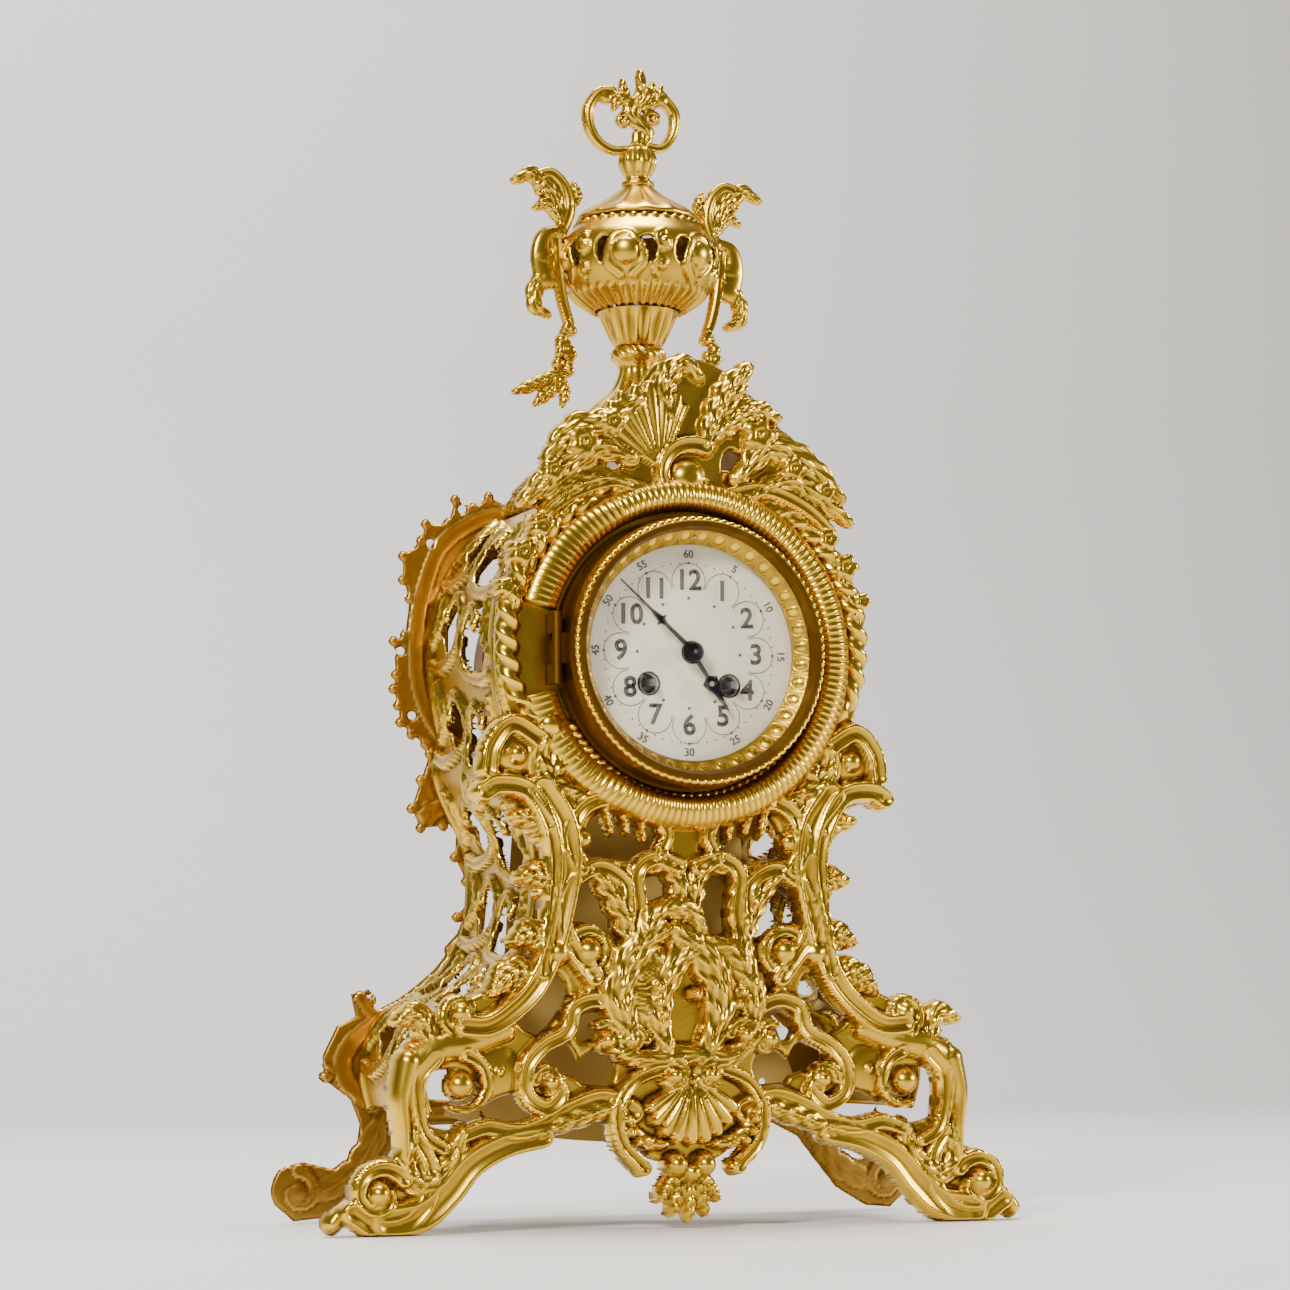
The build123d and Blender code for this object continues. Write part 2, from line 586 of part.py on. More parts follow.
def hour_hand():
    stem = poly((-1.1, 0), (-0.7, 13), (0.7, 13), (1.1, 0))
    head = poly((0, 11), (-3.6, 13.5), (-2.6, 16.5), (-1.3, 19), (-0.2, 28), (0.2, 28), (1.3, 19),
                   (2.6, 16.5), (3.6, 13.5))
    return hand(stem + (head - Pos(0, 15) * Circle(1.1)), HOUR_HAND_DEG, -58.8, -58.2, HOUR_PIPE_R)


def centre_wheel():
    """Centre arbor with its pinion and wheel, reaching forward through the dial."""
    body = arbor(CENTRE, CENTRE_ARBOR_R, -61.8, BACK_PLATE_Y + PLATE_T)
    return body + centre.solid(-3.0, -1.6, spokes=5) + centre_pinion.solid(-10.0, -5.0)


def cannon_pinion():
    """Pinion and pipe that grip the centre arbor by friction and carry the minute hand."""
    pipe = arbor(CENTRE, CANNON_PIPE_R, -60.6, -46.6) + cannon.solid(-50.4, -48.0)
    return pipe - arbor(CENTRE, CENTRE_ARBOR_R, -63, -46)


def hour_wheel():
    """Wheel and pipe that run on the cannon pinion and carry the hour hand."""
    pipe = arbor(CENTRE, HOUR_PIPE_R, -59.2, -50.9) + hour.solid(-52.2, -51.0)
    return pipe - arbor(CENTRE, CANNON_PIPE_R + PIVOT_PLAY, -63, -46)


def minute_wheel():
    """Wheel and pinion on a stud of the front plate."""
    body = minute.solid(-49.8, -48.6, spokes=4) + minute_pinion.solid(-52.6, -49.8)
    return body - arbor(MINUTE_WHEEL, STUD_R + PIVOT_PLAY, -54, -46)


def hand_nut():
    """Domed collet that holds the hands."""
    return turned_y([(CENTRE_ARBOR_R, -60.7), (4.2, -60.7), (3.6, -62.0), (CENTRE_ARBOR_R, -62.6)])


parts["dial"] = dial()
parts["minute_hand"] = minute_hand()
parts["hour_hand"] = hour_hand()
parts["hand_nut"] = hand_nut()
parts["centre_wheel"] = centre_wheel()
parts["cannon_pinion"] = cannon_pinion()
parts["hour_wheel"] = hour_wheel()
parts["minute_wheel"] = minute_wheel()

# ---------------------------------------------------------------- movement frame
BARREL_ARBOR_R = 2.0
PILLAR_R = 2.5
BACK_FACE = BACK_PLATE_Y + PLATE_T
ANCHOR_Z = DIAL_Z + ANCHOR[1]
COCK_FRONT, COCK_BACK = 15.0, 17.0


def movement_plate(front):
    """Round plate with a pivot hole for every arbor."""
    holes = [(at, ARBOR_R) for at in PIVOTS] + [(at, BARREL_ARBOR_R) for at in (GOING, STRIKE)]
    face = Circle(PLATE_R) - Circle(CENTRE_ARBOR_R + PIVOT_PLAY)
    for (x, z), radius in holes:
        face -= Pos(x, z) * Circle(radius + PIVOT_PLAY)
    return between(Pos(0, DIAL_Z) * face, front, front + PLATE_T)


def front_plate():
    """Front plate with the minute wheel's stud and three feet that meet the bezel's seat."""
    plate = movement_plate(FRONT_PLATE_Y) + arbor(MINUTE_WHEEL, STUD_R, -52.8, FRONT_PLATE_Y)
    for degrees in (20, 160, 270):
        foot = Pos(0, 0, DIAL_Z) * Rot(0, -degrees, 0) * Pos(43.4, -47, 0) * Box(4, 6, 6)
        plate += foot
    return plate


def plate_pillars():
    """Four pillars that hold the plates apart, with a screw head on each end."""
    pillars = Part()
    for at in PILLARS:
        pillars += arbor(at, PILLAR_R, FRONT_PLATE_Y + PLATE_T, BACK_PLATE_Y)
    return pillars


def plate_screws():
    """Slotted screws over the pillars' ends, behind the back plate."""
    screws = Part()
    for x, z in PILLARS:
        head = arbor((x, z), 2.6, BACK_FACE, BACK_FACE + 1.6)
        screws += head - Pos(x, BACK_FACE + 1.4, DIAL_Z + z) * Box(6, 0.8, 0.6)
    return screws


def suspension_cock():
    """Cock on the back plate: rear bearing of the pallet arbor, and the chops of the suspension spring."""
    body = between(Pos(0, ANCHOR_Z) * Rectangle(24, 8), COCK_FRONT, COCK_BACK)
    for x in (-9, 9):
        body += disc(x, ANCHOR_Z, 2, BACK_FACE, COCK_FRONT + 0.5)
    body += Pos(0, 21.9, ANCHOR_Z + 5) * Box(6, 10, 4)
    body -= disc(0, ANCHOR_Z, ARBOR_R + PIVOT_PLAY, 14, 20)
    return body - Pos(0, PENDULUM_Y, ANCHOR_Z + 5) * Box(0.45, 5.2, 8)


def suspension_spring():
    """Fixed half of the thin steel spring that the pendulum hangs and bends on, with its top block."""
    strip = Pos(0, PENDULUM_Y, ANCHOR_Z + 4) * Box(0.25, 5, 7.6)
    return strip + Pos(0, PENDULUM_Y, ANCHOR_Z + 8.3) * Box(3, 5, 2.4)


def bell():
    """Cup bell with its open side to the movement."""
    return turned_y([(31, 30), (29.5, 36), (23, 42), (11, 45.5), (1.7, 46.2), (1.7, 44.8), (11, 44), (22, 40.7),
                     (28, 35.2), (29.3, 30)])


def bell_stand():
    """Bent post from the back plate into the bell, with the screw that holds the bell."""
    foot = apart(CENTRE, 20, 315)
    post = arbor(foot, 2.0, BACK_FACE, 40.0)
    x, z = foot
    arm = between(Pos(0, DIAL_Z) * trace(Line((x, z), (0, 0)), line_width=4), 38.0, 40.0)
    stud = disc(0, DIAL_Z, 1.6, 38.0, 48.2) + disc(0, DIAL_Z, 3.5, 46.3, 48.2) + disc(0, DIAL_Z, 3, 38, 43.5)
    return post + arm + stud


parts["front_plate"] = front_plate()
parts["back_plate"] = movement_plate(BACK_PLATE_Y)
parts["plate_pillars"] = plate_pillars()
parts["plate_screws"] = plate_screws()
parts["suspension_cock"] = suspension_cock()
parts["suspension_spring"] = suspension_spring()
parts["bell"] = bell()
parts["bell_stand"] = bell_stand()

# ---------------------------------------------------------------- going and striking trains
GREAT_FRONT, GREAT_BACK = -16.0, -14.6
BARREL_FRONT = -40.0
BARREL_R = 15.0
RATCHET_TEETH = 24


def barrel(at, great_wheel):
    """Closed spring barrel whose rear cap is the great wheel."""
    cover_r = BARREL_ARBOR_R + PIVOT_PLAY
    body = arbor(at, BARREL_R, BARREL_FRONT, GREAT_BACK) + great_wheel.solid(GREAT_FRONT, GREAT_BACK)
    body -= arbor(at, BARREL_R - 1.2, BARREL_FRONT + 1, GREAT_FRONT)
    return body - arbor(at, cover_r, BARREL_FRONT - 1, GREAT_BACK + 1)


def mainspring(at):
    """Coiled spring, packed against the barrel's wall."""
    return arbor(at, 13.6, BARREL_FRONT + 2, GREAT_FRONT - 1) - arbor(at, 6.5, BARREL_FRONT, GREAT_FRONT)


def winding_arbor(at):
    """Barrel arbor: a square for the key, a ratchet wheel on the front plate and a core in the barrel."""
    x, z = at[0], DIAL_Z + at[1]
    teeth = []
    for tooth in range(RATCHET_TEETH):
        turn = 2 * math.pi * tooth / RATCHET_TEETH
        for radius, lag in ((5.4, 0.0), (4.6, 0.02)):
            teeth.append((radius * math.cos(turn + lag), radius * math.sin(turn + lag)))
    body = arbor(at, BARREL_ARBOR_R, -50, BACK_FACE) + Pos(x, -54.5, z) * Box(2.6, 11, 2.6)
    body += between(Pos(x, z) * poly(*teeth), -48.0, -46.8)
    return body + arbor(at, 4, BARREL_FRONT + 2, GREAT_FRONT - 1)


def train_wheel(wheel, wheel_front, pinion, pinion_front, pinion_back, spokes=5):
    """Arbor between the plates with a spoked wheel and the pinion that drives it."""
    body = arbor(wheel.at, ARBOR_R, FRONT_PLATE_Y, BACK_FACE)
    body += wheel.solid(wheel_front, wheel_front + 1.2, spokes=spokes)
    return body + pinion.solid(pinion_front, pinion_back)


def pin_wheel():
    """Wheel of the strike that lifts the hammer with pins set in its rim."""
    body = train_wheel(pin, -24.0, pin_pinion, -10, -5)
    for degrees in range(0, 360, 36):
        body += arbor(apart(PIN_WHEEL, pin.pitch_r - 0.65, degrees), 0.3, -22.9, -19.5)
    return body


def escape_wheel():
    """Escape wheel of fine pointed teeth on its arbor."""
    points = []
    for tooth in range(42):
        turn = 2 * math.pi * tooth / 42
        for radius, lag in ((7.8, 0.0), (6.5, 0.05)):
            points.append((radius * math.cos(turn + lag), radius * math.sin(turn + lag)))
    face = poly(*points) - (Circle(5.2) - Circle(1.8) - Rectangle(12, 1.2) - Rectangle(1.2, 12))
    x, z = ESCAPE
    body = arbor(ESCAPE, ARBOR_R, FRONT_PLATE_Y, BACK_FACE) + escape_pinion.solid(0.8, 4.8)
    return body + between(Pos(x, DIAL_Z + z) * face, -3.0, -2.2)


def fly():
    """Two-bladed air brake of the strike."""
    x, z = FLY
    body = arbor(FLY, ARBOR_R, FRONT_PLATE_Y, BACK_FACE) + fly_pinion.solid(-35, -30.5)
    return body + Pos(x, -16.5, DIAL_Z + z) * Box(11, 19, 0.5)


def anchor():
    """Pallet arbor with the anchor over the escape wheel, and the crutch behind the back plate."""
    arms = trace(Line((0, 0), (6.9, -4.6)), line_width=1.8) + poly((7.6, -4.2), (6.9, -5.4), (6.0, -4.6))
    arms = arms + mirror(arms, about=Plane.YZ) + Circle(2)
    body = arbor(ANCHOR, ARBOR_R, FRONT_PLATE_Y, COCK_BACK) + between(Pos(0, ANCHOR_Z) * arms, -3.0, -2.2)
    crutch_z = ANCHOR_Z - 38
    body += between(Pos(0, (ANCHOR_Z + crutch_z) / 2) * Rectangle(1.6, 38), 11.5, 12.5)
    body += disc(0, ANCHOR_Z, 2, 10.5, 12.5) + Pos(0, 17, crutch_z) * Box(1.6, 11, 1.6)
    body += Pos(0, 22.3, crutch_z) * Box(4.6, 0.6, 1.6)
    for x in (-1.65, 1.65):
        body += Pos(x, 24, crutch_z) * Box(1.2, 4, 1.6)
    return body


def pendulum_rod():
    """Rod of the pendulum, under the lower half of its suspension spring."""
    low = ANCHOR_Z - PENDULUM_LENGTH - 20
    rod = Pos(0, PENDULUM_Y, (low + ANCHOR_Z - 6) / 2) * Cylinder(0.9, ANCHOR_Z - 6 - low)
    rod += Pos(0, PENDULUM_Y, ANCHOR_Z - 3.5) * Box(0.25, 5, 6.6)
    return rod + Pos(0, PENDULUM_Y, ANCHOR_Z - 7) * Box(3, 5, 3)


def pendulum_bob():
    """Lens-shaped brass bob."""
    z = ANCHOR_Z - PENDULUM_LENGTH
    cap_r = (BOB_R ** 2 + BOB_HALF_T ** 2) / (2 * BOB_HALF_T)
    offset = cap_r - BOB_HALF_T
    lens = ball(0, PENDULUM_Y - offset, z, cap_r) & ball(0, PENDULUM_Y + offset, z, cap_r)
    return lens - Pos(0, PENDULUM_Y, z) * Cylinder(0.95, 40)


def hammer():
    """Hammer on its arbor, beside the bell, with the tail that the pin wheel lifts."""
    x, z = HAMMER
    head = apart(CENTRE, 34.9, 140)
    face = trace(Line((x, z), head), line_width=2) + Pos(*head) * Circle(3.2)
    tail = trace(Line((x, z), (-31.2, 13.0)), line_width=1.6)
    body = arbor(HAMMER, ARBOR_R, FRONT_PLATE_Y, 34.0) + between(Pos(0, DIAL_Z) * face, 31.0, 34.0)
    return body + between(Pos(0, DIAL_Z) * tail, -21.5, -20.3)


parts["going_barrel"] = barrel(GOING, great)
parts["strike_barrel"] = barrel(STRIKE, strike_great)
parts["going_mainspring"] = mainspring(GOING)
parts["strike_mainspring"] = mainspring(STRIKE)
parts["going_winding_arbor"] = winding_arbor(GOING)
parts["strike_winding_arbor"] = winding_arbor(STRIKE)
parts["going_second_wheel"] = train_wheel(second, -8.2, second_pinion, -18, -12)
parts["third_wheel"] = train_wheel(third, 2.0, third_pinion, -5, 0.5)
parts["escape_wheel"] = escape_wheel()
parts["strike_second_wheel"] = train_wheel(strike_second, -8.2, strike_second_pinion, -18, -12)
parts["pin_wheel"] = pin_wheel()
parts["stop_wheel"] = train_wheel(stop, -33.0, stop_pinion, -26, -21)
parts["fly"] = fly()
parts["anchor"] = anchor()
parts["pendulum_rod"] = pendulum_rod()
parts["pendulum_bob"] = pendulum_bob()
parts["hammer"] = hammer()

os.makedirs("parts", exist_ok=True)
for name, solid in parts.items():
    export_step(solid, f"parts/{name}.step")
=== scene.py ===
# %% [markdown]
# # A gilt rococo mantel clock
# The case of this clock is a set of brass castings, chased and gilt, screwed together round a drum that
# holds a striking movement. The frame gives every mechanical piece; this script gives the castings their
# ornament, the dial its enamel and numerals, and every metal its finish.
# %% Load the frame
import bpy
import bmesh
import math
import numpy as np
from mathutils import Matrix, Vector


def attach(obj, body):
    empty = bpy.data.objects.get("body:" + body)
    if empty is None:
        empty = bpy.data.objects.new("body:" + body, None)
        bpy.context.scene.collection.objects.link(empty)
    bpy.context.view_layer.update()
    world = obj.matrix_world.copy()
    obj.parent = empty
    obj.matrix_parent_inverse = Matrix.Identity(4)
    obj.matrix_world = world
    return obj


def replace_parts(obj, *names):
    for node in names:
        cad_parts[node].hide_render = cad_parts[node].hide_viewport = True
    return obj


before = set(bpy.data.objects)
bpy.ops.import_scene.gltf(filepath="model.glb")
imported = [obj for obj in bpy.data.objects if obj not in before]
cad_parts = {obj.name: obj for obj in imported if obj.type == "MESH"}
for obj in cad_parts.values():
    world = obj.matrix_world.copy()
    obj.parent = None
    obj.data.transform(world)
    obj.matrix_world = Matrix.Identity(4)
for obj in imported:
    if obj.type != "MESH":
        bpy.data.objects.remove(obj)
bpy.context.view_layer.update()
MM = 0.001
DIAL_Z = 228.0

# %% [markdown]
# ## Shared materials
# Gilding is its own bright gold on the crests and dark amber in the hollows. The amber is a painted shade,
# tinted like light reflected inside them, so each casting carries a *cavity* value on its points: 1 on a
# crest, 0 in a hollow.
# One node group turns that value and some noise into a colour and a roughness, and each metal gives it its
# own
# pair of colours: its own colour for the crests and a painted shade colour for the hollows.
# %% The painted shade group
def socket(group, name, way, kind, value=None):
    """Adds a named socket to a node group, with its value at rest."""
    made = group.interface.new_socket(name, in_out=way, socket_type=kind)
    if value is not None:
        made.default_value = value


def build_wear_group():
    """Colour = mix(recess, crest, cavity + noise), painted shade in hollows; rougher in recesses; grain is
    fine noise.
    """
    group = bpy.data.node_groups.new("painted_shade_metal", "ShaderNodeTree")
    socket(group, "Crest", "INPUT", "NodeSocketColor", (1, 0.75, 0.35, 1))
    socket(group, "Recess", "INPUT", "NodeSocketColor", (0.4, 0.2, 0.04, 1))
    socket(group, "Smooth", "INPUT", "NodeSocketFloat", 0.2)
    socket(group, "Rough", "INPUT", "NodeSocketFloat", 0.45)
    socket(group, "Scale", "INPUT", "NodeSocketFloat", 60.0)
    socket(group, "Color", "OUTPUT", "NodeSocketColor")
    socket(group, "Roughness", "OUTPUT", "NodeSocketFloat")
    socket(group, "Grain", "OUTPUT", "NodeSocketFloat")
    nodes, link = group.nodes, group.links.new
    enter, leave = nodes.new("NodeGroupInput"), nodes.new("NodeGroupOutput")
    place, cavity = nodes.new("ShaderNodeTexCoord"), nodes.new("ShaderNodeAttribute")
    cavity.attribute_name = "cavity"
    patches, grain = nodes.new("ShaderNodeTexNoise"), nodes.new("ShaderNodeTexNoise")
    patches.inputs["Detail"].default_value = 4
    grain.inputs["Scale"].default_value = 1400
    link(place.outputs["Object"], patches.inputs["Vector"])
    link(place.outputs["Object"], grain.inputs["Vector"])
    link(enter.outputs["Scale"], patches.inputs["Scale"])
    lift, total = (nodes.new("ShaderNodeMath") for _ in range(2))
    lift.operation, total.operation = "MULTIPLY_ADD", "ADD"
    lift.inputs[1].default_value, lift.inputs[2].default_value = 0.5, -0.25
    total.use_clamp = True
    link(patches.outputs["Fac"], lift.inputs[0])
    link(lift.outputs[0], total.inputs[0])
    link(cavity.outputs["Fac"], total.inputs[1])
    # Painted shade: the colour runs from the recess colour in hollows (cavity 0) to the crest colour on
    # crests.
    mix = nodes.new("ShaderNodeMix")
    mix.data_type = "RGBA"
    link(total.outputs[0], mix.inputs["Factor"])
    link(enter.outputs["Recess"], mix.inputs["A"])
    link(enter.outputs["Crest"], mix.inputs["B"])
    rough = nodes.new("ShaderNodeMapRange")
    link(total.outputs[0], rough.inputs["Value"])
    link(enter.outputs["Rough"], rough.inputs["To Min"])
    link(enter.outputs["Smooth"], rough.inputs["To Max"])
    link(mix.outputs["Result"], leave.inputs["Color"])
    link(rough.outputs["Result"], leave.inputs["Roughness"])
    link(grain.outputs["Fac"], leave.inputs["Grain"])
    return group


chased = build_wear_group()
print("group", chased.name, len(chased.nodes), "nodes")


# %% Metals
def metal(name, crest, recess, smooth, rough, scale=60.0, grain=0.03, shine=1.0):
    """A metal whose colour and roughness come from the painted shade group, with a fine bump of grain."""
    made = bpy.data.materials.new(name)
    made.use_nodes = True
    nodes, link = made.node_tree.nodes, made.node_tree.links.new
    shader = nodes["Principled BSDF"]
    shader.inputs["Metallic"].default_value = shine
    shade_mix = nodes.new("ShaderNodeGroup")
    shade_mix.node_tree = chased
    shade_mix.inputs["Crest"].default_value = (*crest, 1)
    shade_mix.inputs["Recess"].default_value = (*recess, 1)
    shade_mix.inputs["Smooth"].default_value = smooth
    shade_mix.inputs["Rough"].default_value = rough
    shade_mix.inputs["Scale"].default_value = scale
    bump = nodes.new("ShaderNodeBump")
    bump.inputs["Strength"].default_value = grain
    bump.inputs["Distance"].default_value = 0.0004
    link(shade_mix.outputs["Color"], shader.inputs["Base Color"])
    link(shade_mix.outputs["Roughness"], shader.inputs["Roughness"])
    link(shade_mix.outputs["Grain"], bump.inputs["Height"])
    link(bump.outputs["Normal"], shader.inputs["Normal"])
    return made


# The second colour of each metal is painted shade for the hollows of pieces that carry a cavity value.
gilt = metal("gilt_brass", (0.93, 0.60, 0.05), (0.15, 0.065, 0.004), 0.18, 0.44, grain=0.12)
dark_gilt = metal("dark_gilt", (0.50, 0.28, 0.045), (0.11, 0.05, 0.008), 0.30, 0.55, grain=0.15)
sheet_brass = metal("sheet_brass", (0.86, 0.66, 0.24), (0.60, 0.42, 0.12), 0.42, 0.6, 25.0, 0.05)
movement_brass = metal("movement_brass", (0.85, 0.66, 0.34), (0.62, 0.45, 0.20), 0.22, 0.35, 30.0)
bell_metal = metal("bell_metal", (0.80, 0.66, 0.42), (0.56, 0.44, 0.26), 0.18, 0.3, 20.0)
steel = metal("steel", (0.62, 0.62, 0.64), (0.38, 0.38, 0.40), 0.22, 0.38, 40.0)
blued_steel = metal("blued_steel", (0.05, 0.05, 0.07), (0.02, 0.02, 0.03), 0.25, 0.4, 40.0)
print("metals made")

# %% [markdown]
# ## Reliefs: a casting as a height over a sheet
# A pierced casting could be cut from solids, but its ornament flows and overlaps. Here it is a sheet of
# points over which two maps are kept: *gap*, the distance to the nearest metal edge, negative in the metal,
# and *rise*, how far the surface stands up. Each scroll, leaf or ball lowers the gap and raises the rise.
# Cells in the metal are kept, their outermost points are slid on to the edge, and the front and the back
# meet there, so the casting is one closed skin with soft edges.
# %% Curves and distances
def through(points, count=48):
    """Smooth curve through points: a Catmull-Rom cubic on each stretch, sampled evenly."""
    p = np.asarray(points, float)
    p = np.vstack([2 * p[0] - p[1], p, 2 * p[-1] - p[-2]])
    t = np.linspace(0, len(p) - 3, count)
    i = np.minimum(t.astype(int), len(p) - 4)
    f = (t - i)[:, None]
    a, b, c, d = p[i], p[i + 1], p[i + 2], p[i + 3]
    return 0.5 * (2 * b + (c - a) * f + (2 * a - 5 * b + 4 * c - d) * f ** 2
                  + (3 * b - a - 3 * c + d) * f ** 3)


def spiral(centre, radius, start, turns, end_radius=1.2, count=40):
    """Points of a spiral that closes from radius to end_radius; start in degrees, turns signed."""
    t = np.linspace(0, 1, count)
    r = radius * (end_radius / radius) ** t
    a = np.radians(start) + 2 * math.pi * turns * t
    return np.column_stack([centre[0] + r * np.cos(a), centre[1] + r * np.sin(a)])


def nearest(u, v, line):
    """Distance to a polyline, the share of its length at the nearest point, and the side, for each point."""
    a, b = line[:-1], line[1:]
    ab = b - a
    length = np.maximum(np.hypot(*ab.T), 1e-9)
    along = np.concatenate([[0], np.cumsum(length)])
    px, pz = u.ravel()[:, None] - a[:, 0], v.ravel()[:, None] - a[:, 1]
    t = np.clip((px * ab[:, 0] + pz * ab[:, 1]) / length ** 2, 0, 1)
    far = np.hypot(px - t * ab[:, 0], pz - t * ab[:, 1])
    k = far.argmin(1)
    rows = np.arange(len(k))
    share = (along[k] + t[rows, k] * length[k]) / along[-1]
    side = np.sign(px[rows, k] * ab[k, 1] - pz[rows, k] * ab[k, 0])
    return far[rows, k].reshape(u.shape), share.reshape(u.shape), side.reshape(u.shape)


def inside(u, v, line):
    """Whether each point lies inside a closed polyline, by counting crossings of a ray."""
    x, z = u.ravel()[:, None], v.ravel()[:, None]
    x1, z1 = line.T
    x2, z2 = np.roll(line, -1, 0).T
    rise = np.where(np.abs(z2 - z1) < 1e-9, 1e-9, z2 - z1)
    crosses = ((z1 > z) != (z2 > z)) & (x < (x2 - x1) * (z - z1) / rise + x1)
    return (crosses.sum(1) % 2 == 1).reshape(u.shape)


# %% Cross-sections of scrolls and leaves
def roll(w, t):
    """Half-round: square root of one minus w squared."""
    return np.sqrt(np.clip(1 - w ** 2, 0, 1))


def moulded(w, t):
    """Scroll with a raised edge on both sides and a hollow between."""
    return roll(w ** 2, t) * (0.62 + 0.38 * np.clip(np.abs(w) / 0.62, 0, 1) ** 2)


def leaf(w, t):
    """Acanthus: a round leaf with a middle rib and slanting flutes that run out to the lobes."""
    flutes = 0.87 + 0.13 * np.cos(2 * math.pi * (5 * t - 1.1 * np.abs(w)))
    return roll(w, t) * flutes * (0.9 + 0.1 * np.cos(5 * math.pi * w)) + 0.14 * np.exp(-(w / 0.15) ** 2)


def ribbed(w, t):
    """Rope or gadroon: a half-round with ridges slanting across it."""
    return roll(w, t) * (0.8 + 0.2 * np.cos(2 * math.pi * (16 * t + 0.5 * w)))


# %% The relief itself
class Relief:
    """A sheet of points (u, v) in millimetres with a gap map and a rise map."""

    def __init__(self, u_low, u_high, v_low, v_high, step):
        """Lay out an empty sheet between the limits, with a point every step."""
        self.step = step
        us = np.arange(u_low, u_high + step / 2, step)
        vs = np.arange(v_low, v_high + step / 2, step)
        self.u, self.v = np.meshgrid(us, vs)
        self.gap = np.full(self.u.shape, 1e3)
        self.rise = np.zeros(self.u.shape)

    def near(self, line, margin):
        """The block of the sheet round a line."""
        low, high = line.min(0) - margin, line.max(0) + margin
        cols = np.flatnonzero((self.u[0] >= low[0]) & (self.u[0] <= high[0]))
        rows = np.flatnonzero((self.v[:, 0] >= low[1]) & (self.v[:, 0] <= high[1]))
        if not len(cols) or not len(rows):
            return None
        return np.s_[rows[0]:rows[-1] + 1, cols[0]:cols[-1] + 1]

    def ground(self, line, rise):
        """Flat metal inside a closed outline."""
        block = self.near(line, 4)
        u, v = self.u[block], self.v[block]
        far = nearest(u, v, np.vstack([line, line[:1]]))[0]
        gap = np.where(inside(u, v, line), -far, far)
        self.gap[block] = np.minimum(self.gap[block], gap)
        self.rise[block] = np.maximum(self.rise[block], np.where(gap < 0, rise, 0))

    def pierce(self, line):
        """An opening through the metal inside a closed outline."""
        block = self.near(line, 6)
        u, v = self.u[block], self.v[block]
        far = nearest(u, v, np.vstack([line, line[:1]]))[0]
        hole = np.where(inside(u, v, line), far, -far)
        self.gap[block] = np.maximum(self.gap[block], hole)

    def stroke(self, line, width, rise, form=moulded, taper=(1, 1), lobes=0, base=0.0):
        """A scroll or leaf along a line. Its half width runs from one end's taper to the other's."""
        block = self.near(line, width)
        if block is None:
            return
        far, share, side = nearest(self.u[block], self.v[block], line)
        half = width / 2 * (taper[0] + (taper[1] - taper[0]) * share)
        if form is leaf:
            half = half * (0.25 + 0.75 * np.sin(math.pi * np.clip(share * 0.92 + 0.06, 0, 1)) ** 0.6)
        if lobes:
            half = half * (0.80 + 0.20 * np.abs(np.cos(math.pi * lobes * share)))
        gap = far - half
        shape = base + rise * form(np.clip(far / np.maximum(half, 1e-3), 0, 1) * side, share)
        self.gap[block] = np.minimum(self.gap[block], gap)
        self.rise[block] = np.where(gap < 0, np.maximum(self.rise[block], shape), self.rise[block])

    def ball(self, x, z, radius, rise, base=0.0):
        """A round boss."""
        line = np.array([[x, z], [x, z]], float)
        block = self.near(line, radius + 2)
        far = np.hypot(self.u[block] - x, self.v[block] - z)
        shape = base + rise * np.sqrt(np.clip(1 - (far / radius) ** 2, 0, 1))
        self.gap[block] = np.minimum(self.gap[block], far - radius)
        self.rise[block] = np.where(far < radius, np.maximum(self.rise[block], shape), self.rise[block])

    def volute(self, centre, radius, start, turns, width, rise, base=0.0, eye=None):
        """A scroll that winds in on a round eye."""
        eye = eye or radius * 0.42
        self.stroke(spiral(centre, radius, start, turns, eye), width, rise, moulded, (1, 0.55), base=base)
        self.ball(*centre, eye * 1.1, rise * 1.25, base)

    def flower(self, x, z, radius, rise, base=0.0, petals=5):
        """A blossom: petals whose edge follows the cosine of the angle, round a small boss."""
        line = np.array([[x, z], [x, z]], float)
        block = self.near(line, radius + 2)
        dx, dz = self.u[block] - x, self.v[block] - z
        far, turn = np.hypot(dx, dz), np.arctan2(dz, dx)
        edge = radius * (0.72 + 0.28 * np.abs(np.cos(petals / 2 * turn)))
        shape = base + rise * (0.35 + 0.65 * np.sin(math.pi * np.clip(far / edge, 0, 1)) ** 0.7)
        shape = np.maximum(shape, base + rise * 1.1 * np.sqrt(np.clip(1 - (far / (0.3 * radius)) ** 2, 0,
                                                                      1)))
        self.gap[block] = np.minimum(self.gap[block], far - edge)
        self.rise[block] = np.where(far < edge, np.maximum(self.rise[block], shape), self.rise[block])

    def fan(self, x, z, radius, middle, spread, ribs, rise, base=0.0):
        """A scallop: ribs that spread from a hinge point, with a scalloped edge."""
        line = np.array([[x, z], [x, z]], float)
        block = self.near(line, radius * 1.2)
        dx, dz = self.u[block] - x, self.v[block] - z
        far = np.hypot(dx, dz)
        turn = (np.arctan2(dz, dx) - math.radians(middle) + math.pi) % (2 * math.pi) - math.pi
        across = turn / math.radians(spread)
        wave = np.abs(np.cos(math.pi * ribs * across / 2))
        edge = radius * (0.90 + 0.10 * wave) * np.sqrt(np.clip(1.02 - 0.35 * across ** 2, 0, 1))
        gap = np.maximum(far - edge, far * (np.abs(across) - 1))
        bowl = 0.45 + 0.55 * np.sin(math.pi * np.clip(far / radius, 0, 1) ** 0.8 * 0.8)
        shape = base + rise * bowl * (0.68 + 0.32 * wave)
        self.gap[block] = np.minimum(self.gap[block], gap)
        self.rise[block] = np.where(gap < 0, np.maximum(self.rise[block], shape), self.rise[block])

